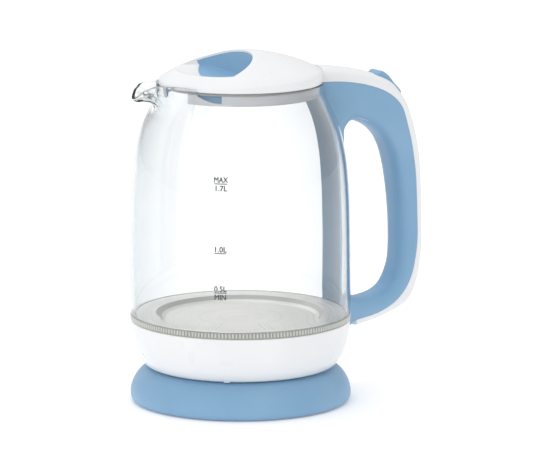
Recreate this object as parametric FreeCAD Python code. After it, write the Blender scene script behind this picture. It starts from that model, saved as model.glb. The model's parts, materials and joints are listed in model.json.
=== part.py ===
"""Cordless glass electric kettle on its round power base.

Every separate physical piece is its own solid, written to parts/NODE.step.
Millimetres. The origin is the centre of the base on the surface it stands on,
+Z is up, the spout points to -X and the handle to +X.
"""
import FreeCAD, Part

import math
import os

from FreeCAD import Vector

os.makedirs("parts", exist_ok=True)

# ---------------------------------------------------------------- sizes
# clearances
FIT_GAP = 0.05          # between pieces that are fixed to each other
MOVE_GAP = 0.3          # between pieces that move past each other
RUNNING_GAP = 0.05      # radial, on a hinge pin
PIN_FIT = 0.01          # radial, where a hinge pin is held

# power base
BASE_R = 75.0           # widest radius
BASE_H = 24.0           # top of the base
BASE_WALL = 2.4
PLATE_T = 2.0           # bottom plate
FOOT_H = 1.0            # how far the feet stand out below the plate
FOOT_R = 6.0
FOOT_PITCH_R = 58.0     # radius of the circle of feet
PAD_R = 9.0             # pad under the middle of the base
SOCKET_R = 17.0         # pillar of the power socket
SOCKET_TOP = 34.0
GROOVE_IN_R = 9.0       # ring groove in the socket
GROOVE_OUT_R = 12.0
GROOVE_FLOOR = 16.0
PIN_HOLE_R = 3.0
CORD_INLET_R = 3.6
CORD_INLET_L = 8.0
CORD_INLET_Z = 10.0
CORD_BOSS_WALL = 2.2
SOCKET_CLEAR = 4.0      # bottom plate to the socket's foot
SOCKET_CHAMFER = 1.5
SOCKET_COLLAR_W = 4.0   # collar that the socket hangs from
SOCKET_COLLAR_T = 2.0
SOCKET_WALL = 2.5
SOCKET_FLOOR = 2.0
PIN_TUBE_R = 5.0        # tube round the centre contact
CONTACT_T = 0.6         # brass spring leaves
CONTACT_W = 4.0
CONTACT_REACH = 12.5
SHUTTER_H = 4.0
SPRING_WIRE_R = 0.5
SPRING_TURNS = 4
TERMINAL_L = 16.0
TERMINAL_W = 18.0
TERMINAL_H = 9.0
TERMINAL_X = 34.0       # axis to the near side of the terminal block
TERMINAL_PITCH = 5.0
TERMINAL_BORE_R = 1.6
BASE_SCREW_PITCH_R = 44.0
BOSS_WALL = 2.5         # plastic round a screw
PLATE_RIB_T = 1.2
PLATE_RIB_H = 1.6
PLATE_RIBS = (24.0, 34.0)
POCKET_T = 0.8          # plastic left out for a foot or a screw head

# screws
SCREW_R = 1.5
SCREW_HEAD_R = 2.8
SCREW_HEAD_H = 1.6
SCREW_SLOT_W = 0.8
SCREW_CLEAR = 0.2       # radial, where a screw only passes through

# jug, lower part
JUG_Z = BASE_H + MOVE_GAP        # underside of the jug
HOUSING_H = 31.6                 # white lower housing
HOUSING_FOOT_R = 61.0            # where the housing turns under the jug
HOUSING_WALL = 2.2
RING_H = 5.0                     # clear ribbed ring under the glass
RING_T = 3.8
COVER_T = 2.0                    # underside cover
COVER_LIFT = 0.8                 # underside of the housing to the cover
BOTTOM_SCREW_PITCH_R = 55.5
BOSS_H = 13.0                    # screw bosses in the housing
BOSS_R = 3.6
WEB_T = 2.0
LEDGE_IN_R = 64.0                # ledge that carries the heater's clamp ring
LEDGE_T = 3.0
LATCH_W = 4.0                    # latch mark under the front of the housing
LATCH_H = 0.7
LATCH_ANGLE = -38.0
WELL_GAP = 2.0                   # socket pillar to the well in the underside
WELL_WALL = 2.0
PLATE_SINK = 4.0                 # depth of the dished heater plate
PLATE_DISH_R = 53.0
PLATE_SLOPE = 4.5
PLATE_METAL = 0.8
SPREADER_R = 45.0                # aluminium heat spreader
SPREADER_T = 2.5
ELEMENT_R = 36.0                 # ring of the sheathed heating element
ELEMENT_ROD_R = 3.3
ELEMENT_GAP = 30.0               # half the gap between its ends, degrees
ELEMENT_PIN_R = 1.4
ELEMENT_PIN_L = 6.0
CLAMP_W = 6.7
CLAMP_T = 1.6
GASKET_W = 5.7
CONTROL_L = 38.0
CONTROL_W = 28.0
CONTROL_SLOT_W = 16.0
CONTROL_SLOT_H = 4.0
CONNECTOR_T = 2.0
CONNECTOR_FLANGE_T = 1.0
CONNECTOR_RING_IN_R = 9.6
CONNECTOR_RING_OUT_R = 11.2
CONNECTOR_RING_REACH = 0.6       # below the underside of the jug
CONNECTOR_PIN_R = 2.4
CONNECTOR_PIN_REACH = 4.0
BIMETAL_R = 5.2
BIMETAL_T = 0.5
BIMETAL_X = 13.5
LAMP_R = 1.5
LAMP_L = 4.5
LAMP_PITCH_R = 48.5

# glass
GLASS_R = 75.0          # widest radius
GLASS_H = 156.6         # bottom edge to rim
GLASS_WALL = 2.6
GLASS_FOOT_IN = 0.4     # the barrel narrows a little to its foot
NECK_R = 56.0
SPOUT_REACH = 82.0      # axis to the tip of the lip
SPOUT_HALF_W = 20.0     # half width where it leaves the neck
SPOUT_RISE = 3.4        # top of the lip above the rim

# lid
LID_INSET = 0.5         # edge of the lid inside the outside of the neck
LID_CROWN = 22.0        # rim of the glass to the top of the dome
LID_FALL = 16.6         # crown to the edge of the dome
LID_TILT = 3.0          # the dome climbs towards the handle, degrees
LID_WALL = 2.1
LID_LAND = 1.5          # flat ring inside the dome that the skirt is welded to
SKIRT_DEPTH = 9.0       # skirt inside the neck
SKIRT_WALL = 1.9
SKIRT_GAP = 1.0         # skirt to glass, filled by the seal
SEAL_H = 1.6
POUR_HALF_ANGLE = 19.0
WINDOW_START = 28.0
WINDOW_END = 47.0
SCOOP_FRONT_LAND = 7.5  # finger recess to the skirt, at the spout
SCOOP_CORNER_LAND = 6.9 # and at its two corners
SCOOP_CORNER_ANGLE = 53.4  # of a corner from the spout, degrees
SCOOP_BACK_X = 3.0
SCOOP_WALL = 1.6
SCOOP_FLOOR = 3.0       # recess floor above the rim of the glass
UNDER_T = 1.8           # plate under the lid
UNDER_DROP = 0.7        # below the rim of the glass
CHEEK_T = 1.25          # blue pieces behind the skirt's windows
CHEEK_LAP = 3.0         # their overlap past a window, degrees
WINDOW_SILL = 1.8
LID_BOSS_R = 3.2
LID_SCREW_L = 4.0       # screw in the boss
LID_BOSS_LAND = 9.6     # middle of a boss to the inside of the skirt
LID_BOSS_ANGLES = (68.5, -68.5, 0.0)
STEAM_TUNNEL_R = 2.2

# handle
HANDLE_W = 26.0
STRIP_T = 4.0           # blue strip that lies against the glass
GRIP_WALL = 2.6
EDGE_ROUND = 4.0        # rounding of the long outer edges
ROCKER_W = 15.0
ROCKER_SLOT_GAP = 0.6
ROCKER_PIN_R = 1.2
ROCKER_HUB_R = 3.0
LEVER_T = 6.0
LEVER_ARM_T = 2.4
LEVER_FRONT = 9.0
LEVER_BACK = 8.0
PIN_SIDE = 1.5          # plastic beyond the ends of a hinge pin
FRAME_T = 1.4           # floor of the switch chamber
FRAME_POST_W = 3.0
FRAME_POST_D = 6.0
STEAM_DISC_R = 6.0
STEAM_DISC_T = 0.5
MICRO_L = 9.0
MICRO_W = 12.0
MICRO_H = 6.0
WIRE_R = 0.9
WIRE_Y = 3.0

# ---------------------------------------------------------------- places
PLATE_Z = FOOT_H
RING_Z = JUG_Z + HOUSING_H
GLASS_Z = RING_Z + RING_H + FIT_GAP
RIM_Z = GLASS_Z + GLASS_H
HOUSING_R = GLASS_R - 0.5
LID_R = NECK_R - LID_INSET
NECK_IN_R = NECK_R - GLASS_WALL
SKIRT_R = NECK_IN_R - SKIRT_GAP
SKIRT_IN_R = SKIRT_R - SKIRT_WALL
LID_Z = RIM_Z + MOVE_GAP
DOME_TOP = RIM_Z + LID_CROWN
COVER_Z = JUG_Z + COVER_LIFT
COVER_R = HOUSING_FOOT_R - 1.0
WELL_R = SOCKET_R + WELL_GAP
CONNECTOR_Z = SOCKET_TOP + 1.2
FLANGE_Z = GLASS_Z                       # top face of the heater plate's flange
DISH_Z = FLANGE_Z - PLATE_SINK           # top face of the dished middle
SPREADER_Z = DISH_Z - PLATE_METAL - SPREADER_T
ELEMENT_Z = SPREADER_Z - ELEMENT_ROD_R

Z_AXIS = Vector(0, 0, 1)


# ---------------------------------------------------------------- tools
def save(name, shape):
    """Write one node."""
    shape.exportStep("parts/" + name + ".step")


def spin(points, angle=360.0):
    """Solid turned about Z from a closed outline of (radius, height) points."""
    corners = [Vector(r, 0, z) for r, z in points + points[:1]]
    return Part.Face(Part.makePolygon(corners)).revolve(Vector(0, 0, 0), Z_AXIS, angle)


def spin_edges(edges):
    """Solid turned about Z from a closed loop of edges in the XZ plane."""
    return Part.Face(Part.Wire(edges)).revolve(Vector(0, 0, 0), Z_AXIS, 360)


def ring(inner, outer, low, high):
    return spin([(inner, low), (outer, low), (outer, high), (inner, high)])


def disc(radius, low, high, x=0.0, y=0.0):
    return Part.makeCylinder(radius, high - low, Vector(x, y, low))


def rod(radius, start, end):
    return Part.makeCylinder(radius, (end - start).Length, start, end - start)


def block(low, high):
    size = high - low
    return Part.makeBox(size.x, size.y, size.z, low)


def curve(points, closed=False):
    """Smooth edge through (x, z) points in the XZ plane."""
    spline = Part.BSplineCurve()
    spline.interpolate(Points=[Vector(x, 0, z) for x, z in points], PeriodicFlag=closed)
    return spline.toShape()


def line(start, end):
    return Part.makeLine(Vector(start[0], 0, start[1]), Vector(end[0], 0, end[1]))


def panel(edges, half_width):
    """Slab of an outline in the XZ plane, centred on y = 0."""
    face = Part.Face(Part.Wire(edges))
    face.translate(Vector(0, -half_width, 0))
    return face.extrude(Vector(0, 2 * half_width, 0))


def polygon_panel(points, half_width):
    corners = list(points) + [points[0]]
    edges = [line(corners[i], corners[i + 1]) for i in range(len(points))]
    return panel(edges, half_width)


def shifted(points, distance):
    """Points moved square to their line, to its left for a positive distance."""
    moved = []
    for i, (x, z) in enumerate(points):
        before = points[max(i - 1, 0)]
        after = points[min(i + 1, len(points) - 1)]
        dx = after[0] - before[0]
        dz = after[1] - before[1]
        length = math.hypot(dx, dz)
        moved.append((x - distance * dz / length, z + distance * dx / length))
    return moved


def around(count, radius, first=0.0):
    """Places evenly spaced on a circle."""
    angles = [math.radians(first + 360.0 * i / count) for i in range(count)]
    return [(radius * math.cos(a), radius * math.sin(a)) for a in angles]


def sector(start, end, radius, low, high):
    """Wedge about Z between two angles in degrees, counted from +X."""
    points = [Vector(0, 0, low)]
    steps = 6
    for i in range(steps + 1):
        angle = math.radians(start + (end - start) * i / steps)
        points.append(Vector(radius * math.cos(angle), radius * math.sin(angle), low))
    points.append(points[0])
    return Part.Face(Part.makePolygon(points)).extrude(Vector(0, 0, high - low))


def screw(x, y, head_z, tip_z):
    """Pan head screw standing on its head at head_z, pointing to tip_z."""
    up = 1.0 if tip_z > head_z else -1.0
    neck_z = head_z + up * SCREW_HEAD_H
    head = disc(SCREW_HEAD_R, min(head_z, neck_z), max(head_z, neck_z), x, y)
    shank = disc(SCREW_R, min(neck_z, tip_z), max(neck_z, tip_z), x, y)
    slot_half = SCREW_HEAD_R + 1.0
    side = SCREW_SLOT_W / 2.0
    slot_low = head_z if up > 0 else head_z - SCREW_SLOT_W
    corner = Vector(x - slot_half, y - side, slot_low)
    slot = block(corner, corner + Vector(2 * slot_half, SCREW_SLOT_W, SCREW_SLOT_W))
    return head.fuse(shank).removeSplitter().cut(slot)


# ---------------------------------------------------------------- power base
BASE_SCREWS = around(3, BASE_SCREW_PITCH_R, 60.0)
FEET = around(4, FOOT_PITCH_R, 45.0)


def base_outline():
    """Outside of the base from its lower edge to its flat top."""
    return [
        (BASE_R - 1.6, PLATE_Z),
        (BASE_R - 0.4, 0.15 * BASE_H),
        (BASE_R, 0.28 * BASE_H),
        (BASE_R - 0.8, 0.46 * BASE_H),
        (BASE_R - 2.7, 0.64 * BASE_H),
        (BASE_R - 5.4, 0.80 * BASE_H),
        (BASE_R - 9.0, 0.925 * BASE_H),
        (BASE_R - 14.0, BASE_H),
    ]


def make_base():
    outside = base_outline()
    inside = shifted(outside, BASE_WALL)
    inside[0] = (inside[0][0], PLATE_Z)
    inside[-1] = (inside[-1][0], BASE_H - BASE_WALL)
    skin = spin_edges([
        curve(outside),
        line(outside[-1], (0, BASE_H)),
        line((0, BASE_H), (0, BASE_H - BASE_WALL)),
        line((0, BASE_H - BASE_WALL), inside[-1]),
        curve(inside),
        line(inside[0], outside[0]),
    ])
    boss_end = BASE_R - CORD_INLET_L
    filled = spin_edges([curve(outside), line(outside[-1], (0, BASE_H)), line((0, BASE_H), (0, PLATE_Z)),
                         line((0, PLATE_Z), outside[0])])
    boss_start = Vector(boss_end, 0, CORD_INLET_Z)
    boss = rod(CORD_INLET_R + CORD_BOSS_WALL, boss_start, Vector(BASE_R, 0, CORD_INLET_Z))
    boss = boss.common(filled)
    inlet = rod(CORD_INLET_R, Vector(boss_end - 1, 0, CORD_INLET_Z), Vector(BASE_R + 2, 0, CORD_INLET_Z))
    shell = skin.fuse(boss)
    plate_top = PLATE_Z + PLATE_T
    for x, y in BASE_SCREWS:
        post = disc(SCREW_R + BOSS_WALL, plate_top + FIT_GAP, BASE_H - 1, x, y)
        shell = shell.fuse(post).cut(disc(SCREW_R + FIT_GAP, plate_top - 1, BASE_H - BASE_WALL - 1, x, y))
    shell = shell.cut(inlet).cut(disc(SOCKET_R + FIT_GAP, BASE_H - 2 * BASE_WALL, BASE_H + 1))
    save("base_shell", shell.removeSplitter())

    plate = disc(inside[0][0] - MOVE_GAP, PLATE_Z, plate_top)
    pocket_top = PLATE_Z + POCKET_T
    for x, y in BASE_SCREWS:
        plate = plate.cut(disc(SCREW_R + SCREW_CLEAR, 0, plate_top + 1, x, y))
        plate = plate.cut(disc(SCREW_HEAD_R + SCREW_CLEAR, 0, pocket_top, x, y))
    for x, y in FEET:
        plate = plate.cut(disc(FOOT_R, 0, pocket_top, x, y))
    plate = plate.cut(disc(PAD_R, 0, pocket_top))
    for radius in PLATE_RIBS:
        plate = plate.fuse(ring(radius, radius + PLATE_RIB_T, plate_top, plate_top + PLATE_RIB_H))
    save("base_plate", plate.removeSplitter())
    for i, (x, y) in enumerate(FEET):
        save("foot_%d" % (i + 1), disc(FOOT_R - FIT_GAP, 0, pocket_top, x, y))
    save("centre_pad", disc(PAD_R - FIT_GAP, 0, pocket_top))
    screws = [screw(x, y, pocket_top - SCREW_HEAD_H, BASE_H - 2 * BASE_WALL) for x, y in BASE_SCREWS]
    save("base_screws", Part.makeCompound(screws))


def make_socket():
    """Round power socket that the jug's ring and pin plug into."""
    foot_z = PLATE_Z + PLATE_T + SOCKET_CLEAR
    crown_z = SOCKET_TOP - SOCKET_CHAMFER
    collar_top = BASE_H - BASE_WALL - FIT_GAP
    body = disc(SOCKET_R, foot_z, crown_z)
    crown = Part.makeCone(SOCKET_R, SOCKET_R - SOCKET_CHAMFER, SOCKET_CHAMFER, Vector(0, 0, crown_z))
    collar = disc(SOCKET_R + SOCKET_COLLAR_W, collar_top - SOCKET_COLLAR_T, collar_top)
    socket = body.fuse(crown).fuse(collar)
    socket = socket.cut(ring(GROOVE_IN_R, GROOVE_OUT_R, GROOVE_FLOOR, SOCKET_TOP + 1))
    socket = socket.cut(disc(PIN_HOLE_R, GROOVE_FLOOR, SOCKET_TOP + 1))
    room_top = GROOVE_FLOOR - SOCKET_FLOOR
    room = ring(PIN_TUBE_R, SOCKET_R - SOCKET_WALL, foot_z - 1, room_top)
    save("base_socket", socket.cut(room).removeSplitter())

    leaf_in = PIN_TUBE_R + 2.0
    leaf_low = foot_z + 0.5
    side = CONTACT_W / 2.0
    leaves = []
    for angle in (90.0, 210.0, 330.0):
        leaf = block(Vector(leaf_in, -side, leaf_low), Vector(CONTACT_REACH, side, leaf_low + CONTACT_T))
        riser = block(Vector(leaf_in, -side, leaf_low), Vector(leaf_in + CONTACT_T, side, room_top - FIT_GAP))
        strip = leaf.fuse(riser).removeSplitter()
        strip.rotate(Vector(0, 0, 0), Z_AXIS, angle)
        leaves.append(strip)
    save("socket_contacts", Part.makeCompound(leaves))

    shutter_top = JUG_Z - CONNECTOR_RING_REACH - MOVE_GAP
    shutter_low = shutter_top - SHUTTER_H
    save("socket_shutter", ring(GROOVE_IN_R + MOVE_GAP, GROOVE_OUT_R - MOVE_GAP, shutter_low, shutter_top))

    coil_r = (GROOVE_IN_R + GROOVE_OUT_R) / 2.0
    low = GROOVE_FLOOR + SPRING_WIRE_R + FIT_GAP
    pitch = (shutter_low - MOVE_GAP - SPRING_WIRE_R - low) / (SPRING_TURNS - 1)
    spring = Part.makeTorus(coil_r, SPRING_WIRE_R, Vector(0, 0, low))
    for i in range(1, SPRING_TURNS):
        turn_z = low + pitch * i
        x = coil_r if i % 2 else -coil_r
        link = rod(SPRING_WIRE_R, Vector(x, 0, turn_z - pitch), Vector(x, 0, turn_z))
        spring = spring.fuse(Part.makeTorus(coil_r, SPRING_WIRE_R, Vector(0, 0, turn_z))).fuse(link)
    save("shutter_spring", spring)

    end = TERMINAL_X + TERMINAL_L
    clamp_low = PLATE_Z + PLATE_T + PLATE_RIB_H + MOVE_GAP
    corner = Vector(TERMINAL_X, -TERMINAL_W / 2.0, clamp_low)
    clamp = block(corner, corner + Vector(TERMINAL_L, TERMINAL_W, TERMINAL_H))
    for y in (-TERMINAL_PITCH, 0.0, TERMINAL_PITCH):
        tunnel_start = Vector(TERMINAL_X - 1, y, CORD_INLET_Z)
        tunnel = rod(TERMINAL_BORE_R, tunnel_start, Vector(end + 1, y, CORD_INLET_Z))
        clamp = clamp.cut(tunnel)
    save("terminal_block", clamp)


# ---------------------------------------------------------------- jug, lower part
def housing_outline():
    """Outside of the lower housing, from the underside up to the ribbed ring."""
    reach = HOUSING_R - HOUSING_FOOT_R
    steps = [(0.0, 0.0), (0.27, 0.05), (0.47, 0.15), (0.64, 0.29), (0.79, 0.45),
             (0.90, 0.65), (0.975, 0.85), (1.0, 1.0)]
    return [(HOUSING_FOOT_R + reach * out, JUG_Z + HOUSING_H * up) for out, up in steps]


BOTTOM_SCREWS = around(3, BOTTOM_SCREW_PITCH_R, 60.0)


def make_housing():
    outside = housing_outline()
    inside = shifted(outside, HOUSING_WALL)
    inside[0] = (COVER_R + FIT_GAP, COVER_Z + COVER_T)
    inside[-1] = (inside[-1][0], RING_Z)
    foot_in = (COVER_R + FIT_GAP, JUG_Z)
    shell = spin_edges([
        curve(outside),
        line(outside[-1], inside[-1]),
        curve(inside),
        line(inside[0], foot_in),
        line(foot_in, outside[0]),
    ])
    ledge_r = inside[-2][0]
    shell = shell.fuse(ring(LEDGE_IN_R, ledge_r + HOUSING_WALL / 2.0, RING_Z - LEDGE_T, RING_Z))
    filled = spin_edges([curve(outside), line(outside[-1], (0, RING_Z)), line((0, RING_Z), (0, JUG_Z)),
                         line((0, JUG_Z), outside[0])])
    boss_low = COVER_Z + COVER_T + FIT_GAP
    for i, (x, y) in enumerate(BOTTOM_SCREWS):
        corner = Vector(BOTTOM_SCREW_PITCH_R, -WEB_T / 2.0, boss_low)
        web = block(corner, corner + Vector(HOUSING_R - BOTTOM_SCREW_PITCH_R, WEB_T, BOSS_H))
        web.rotate(Vector(0, 0, 0), Z_AXIS, 60.0 + 120.0 * i)
        post = disc(BOSS_R, boss_low, boss_low + BOSS_H, x, y).fuse(web)
        hole = disc(SCREW_R + FIT_GAP, boss_low - 1, boss_low + BOSS_H - WEB_T, x, y)
        shell = shell.fuse(post.common(filled)).cut(hole)
    corner = Vector(-LATCH_W / 2.0, -HOUSING_FOOT_R - LATCH_W, JUG_Z - 1)
    notch = block(corner, corner + Vector(LATCH_W, 2 * LATCH_W, 1 + LATCH_H))
    notch.rotate(Vector(0, 0, 0), Z_AXIS, LATCH_ANGLE)
    save("lower_housing", shell.cut(notch).removeSplitter())

    save("ribbed_ring", ring(GLASS_R - RING_T, GLASS_R - FIT_GAP, RING_Z + FIT_GAP, RING_Z + RING_H))

    cover = disc(COVER_R, COVER_Z, COVER_Z + COVER_T)
    wall = ring(WELL_R, WELL_R + WELL_WALL, COVER_Z, CONNECTOR_Z + CONNECTOR_T)
    cover = cover.cut(disc(WELL_R, COVER_Z - 1, COVER_Z + COVER_T + 1)).fuse(wall)
    head_room = COVER_Z + COVER_T / 2.0
    for x, y in BOTTOM_SCREWS:
        cover = cover.cut(disc(SCREW_R + SCREW_CLEAR, COVER_Z - 1, COVER_Z + COVER_T + 1, x, y))
        cover = cover.cut(disc(SCREW_HEAD_R + SCREW_CLEAR, COVER_Z - 1, head_room, x, y))
    save("bottom_cover", cover.removeSplitter())
    screws = [screw(x, y, head_room - SCREW_HEAD_H, COVER_Z + BOSS_H - 1) for x, y in BOTTOM_SCREWS]
    save("bottom_screws", Part.makeCompound(screws))


def make_heater():
    """Dished steel plate with its seal, spreader and sheathed element."""
    plate_r = GLASS_R - RING_T - MOVE_GAP
    flange_z = FLANGE_Z - FIT_GAP
    slope_r = PLATE_DISH_R + PLATE_SLOPE
    slant = PLATE_METAL / 2.0
    top = [(0, DISH_Z), (PLATE_DISH_R, DISH_Z), (slope_r, flange_z), (plate_r, flange_z)]
    low = [(plate_r, flange_z - PLATE_METAL), (slope_r + slant, flange_z - PLATE_METAL),
           (PLATE_DISH_R + slant, DISH_Z - PLATE_METAL), (0, DISH_Z - PLATE_METAL)]
    save("heater_plate", spin(top + low))
    seal_top = flange_z - PLATE_METAL - FIT_GAP
    clamp_top = RING_Z + CLAMP_T
    save("plate_gasket", ring(plate_r - GASKET_W, plate_r, clamp_top + FIT_GAP, seal_top))
    save("clamp_ring", ring(plate_r - CLAMP_W, plate_r, RING_Z + FIT_GAP, clamp_top))

    save("heat_spreader", disc(SPREADER_R, SPREADER_Z, SPREADER_Z + SPREADER_T))
    circle = Part.Wire(Part.makeCircle(ELEMENT_ROD_R, Vector(ELEMENT_R, 0, ELEMENT_Z), Vector(0, 1, 0)))
    tube = Part.Face(circle).revolve(Vector(0, 0, 0), Z_AXIS, 360.0 - 2 * ELEMENT_GAP)
    tube.rotate(Vector(0, 0, 0), Z_AXIS, ELEMENT_GAP)
    save("heating_element", tube)
    pins = []
    for side in (1, -1):
        a = math.radians(side * ELEMENT_GAP)
        along = Vector(side * math.sin(a), -side * math.cos(a), 0)
        start = Vector(ELEMENT_R * math.cos(a), ELEMENT_R * math.sin(a), ELEMENT_Z)
        pins.append(rod(ELEMENT_PIN_R, start + along * FIT_GAP, start + along * ELEMENT_PIN_L))
    save("element_pins", Part.makeCompound(pins))


def make_control():
    """Thermostat control, its snap discs and the jug's half of the connector."""
    flange_low = CONNECTOR_Z + CONNECTOR_T + FIT_GAP
    low = flange_low + CONNECTOR_FLANGE_T
    high = SPREADER_Z - BIMETAL_T - 1.0
    half_l = CONTROL_L / 2.0
    half_w = CONTROL_W / 2.0
    body = block(Vector(-half_l, -half_w, low), Vector(half_l, half_w, high))
    half_slot = CONTROL_SLOT_W / 2.0
    slot_low = Vector(-half_slot, -half_w - 1, high - CONTROL_SLOT_H)
    slot = block(slot_low, Vector(half_slot, half_w + 1, high + 1))
    save("control_unit", body.cut(slot))
    discs = []
    for x in (-BIMETAL_X, BIMETAL_X):
        discs.append(Part.makeCone(BIMETAL_R, BIMETAL_R - BIMETAL_T, BIMETAL_T, Vector(x, 0, high + FIT_GAP)))
    save("bimetal_discs", Part.makeCompound(discs))
    connector = disc(WELL_R + WELL_WALL + CONNECTOR_T, flange_low, low - FIT_GAP)
    plug = disc(WELL_R - 2 * MOVE_GAP, CONNECTOR_Z, flange_low)
    holder = ring(CONNECTOR_RING_IN_R, CONNECTOR_RING_OUT_R, CONNECTOR_Z - 1, CONNECTOR_Z + CONNECTOR_T)
    pin_seat = disc(CONNECTOR_PIN_R, CONNECTOR_Z - 1, CONNECTOR_Z + CONNECTOR_T)
    connector = connector.fuse(plug).cut(holder).cut(pin_seat)
    save("jug_connector", connector.removeSplitter())
    contact_top = CONNECTOR_Z + CONNECTOR_T
    save("connector_ring", ring(CONNECTOR_RING_IN_R + FIT_GAP, CONNECTOR_RING_OUT_R - FIT_GAP,
                                JUG_Z - CONNECTOR_RING_REACH, contact_top))
    save("connector_pin", disc(CONNECTOR_PIN_R - FIT_GAP, JUG_Z - CONNECTOR_PIN_REACH, contact_top))
    lamps = []
    for x, y in around(2, LAMP_PITCH_R, 90.0):
        tip = SPREADER_Z - LAMP_R
        lamp = disc(LAMP_R, tip - LAMP_L, tip, x, y).fuse(Part.makeSphere(LAMP_R, Vector(x, y, tip)))
        lamps.append(lamp.removeSplitter())
    save("indicator_lamps", Part.makeCompound(lamps))


# ---------------------------------------------------------------- glass
def glass_outline():
    """Outside of the glass: a faint barrel, then the shoulder in to the neck."""
    way_in = GLASS_R - NECK_R
    steps = [(0.363, 0.01), (0.555, 0.068), (0.695, 0.195), (0.821, 0.463),
             (0.913, 0.81), (0.957, 0.968), (1.0, 1.0)]
    points = [(GLASS_R - GLASS_FOOT_IN, GLASS_Z), (GLASS_R, GLASS_Z + 0.15 * GLASS_H)]
    for up, share in steps:
        points.append((GLASS_R - way_in * share, GLASS_Z + GLASS_H * up))
    return points


def glass_body(grow=0.0, top=0.0):
    """Solid the shape of the glass, filled, grown outwards, with a taller neck."""
    points = shifted(glass_outline(), -grow) if grow else glass_outline()
    points[0] = (points[0][0], GLASS_Z)
    points[-1] = (points[-1][0], RIM_Z)
    neck = (points[-1][0], RIM_Z + top)
    edges = [curve(points)]
    if top:
        edges.append(line(points[-1], neck))
    edges.append(line(neck, (0, RIM_Z + top)))
    edges.append(line((0, RIM_Z + top), (0, GLASS_Z)))
    edges.append(line((0, GLASS_Z), points[0]))
    return spin_edges(edges)


def boat(x, half_width, low, high):
    """Closed section across the spout: flat on top, round below."""
    points = []
    for i in range(9):
        angle = math.pi * i / 8.0
        drop = math.sin(angle) ** 0.8
        points.append(Vector(x, half_width * math.cos(angle), high - (high - low) * drop))
    belly = Part.BSplineCurve()
    belly.interpolate(Points=points)
    return Part.Wire([belly.toShape(), Part.makeLine(points[-1], points[0])])


def spout_sections(inset, lift):
    """Sections from inside the neck to the tip, inset by a wall."""
    reach = SPOUT_REACH - NECK_R
    width = SPOUT_HALF_W
    table = [
        (-0.25, 1.00, 22.0, 0.0),
        (0.15, 0.875, 17.0, 0.85),
        (0.46, 0.675, 11.2, 1.0),
        (0.73, 0.45, 8.7, 0.45),
        (0.92, 0.25, 7.7, -0.75),
        (1.00, 0.12, 7.1, -1.45),
    ]
    sections = []
    for out, share, down, rise in table:
        x = -(NECK_R + reach * out)
        half = width * share - inset * min(1.0, 0.35 + 0.65 * share / 0.45)
        sections.append(boat(x, half, RIM_Z - down + inset, RIM_Z + SPOUT_RISE * rise + lift))
    return sections


def make_glass():
    lip = Part.makeLoft(spout_sections(0.0, 0.0), True, False)
    channel_sections = spout_sections(GLASS_WALL - 0.4, 6.0)
    channel = Part.makeLoft(channel_sections, True, False)
    tip = channel_sections[-1]
    tip_face = Part.Face(tip)
    channel = channel.fuse(tip_face.extrude(Vector(-2.0, 0, 0)))
    bore = glass_body(-GLASS_WALL, 6.0)
    bore = bore.fuse(disc(GLASS_R - GLASS_FOOT_IN - GLASS_WALL, GLASS_Z - 1, GLASS_Z + 1))
    lid_way = disc(LID_R + MOVE_GAP, RIM_Z, DOME_TOP + 20)
    glass = glass_body().fuse(lip).cut(bore).cut(channel).cut(lid_way)
    save("glass_jug", max(glass.removeSplitter().Solids, key=lambda solid: solid.Volume))


# ---------------------------------------------------------------- lid
def dome_cap(drop):
    """Everything below the crown of the lid, lowered by drop."""
    top = DOME_TOP - drop
    steps = [(0.0, 0.0), (0.27, 0.093), (0.5, 0.29), (0.68, 0.485), (0.84, 0.71), (1.0, 1.0), (1.2, 1.38)]
    points = [(LID_R * out, top - LID_FALL * fall) for out, fall in steps]
    floor = RIM_Z - 40.0
    cap = spin_edges([
        curve(points),
        line(points[-1], (points[-1][0], floor)),
        line((points[-1][0], floor), (0, floor)),
        line((0, floor), points[0]),
    ])
    cap.rotate(Vector(0, 0, DOME_TOP), Vector(0, 1, 0), -LID_TILT)
    return cap


def scoop_prism(inset, low):
    """Upright prism of the leaf-shaped finger recess, from low upwards."""
    reach = SKIRT_IN_R - SCOOP_CORNER_LAND
    corner_x = -reach * math.cos(math.radians(SCOOP_CORNER_ANGLE))
    corner_y = reach * math.sin(math.radians(SCOOP_CORNER_ANGLE)) - inset
    near = Vector(corner_x, -corner_y, low)
    far = Vector(corner_x, corner_y, low)
    front = Part.Arc(far, Vector(SCOOP_FRONT_LAND - SKIRT_IN_R + inset, 0, low), near).toShape()
    back = Part.Arc(near, Vector(SCOOP_BACK_X - inset, 0, low), far).toShape()
    return Part.Face(Part.Wire([front, back])).extrude(Vector(0, 0, DOME_TOP + 10.0 - low))


LID_BOSSES = [around(1, SKIRT_IN_R - LID_BOSS_LAND, angle)[0] for angle in LID_BOSS_ANGLES]


def steam_tunnel():
    """Way of the steam from under the lid into the handle."""
    end_x, end_z = up_top(6.0, 10.0)
    return rod(STEAM_TUNNEL_R, Vector(NECK_R - 5.0, 0, RIM_Z + 4.2), Vector(end_x, 0, end_z))


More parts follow.
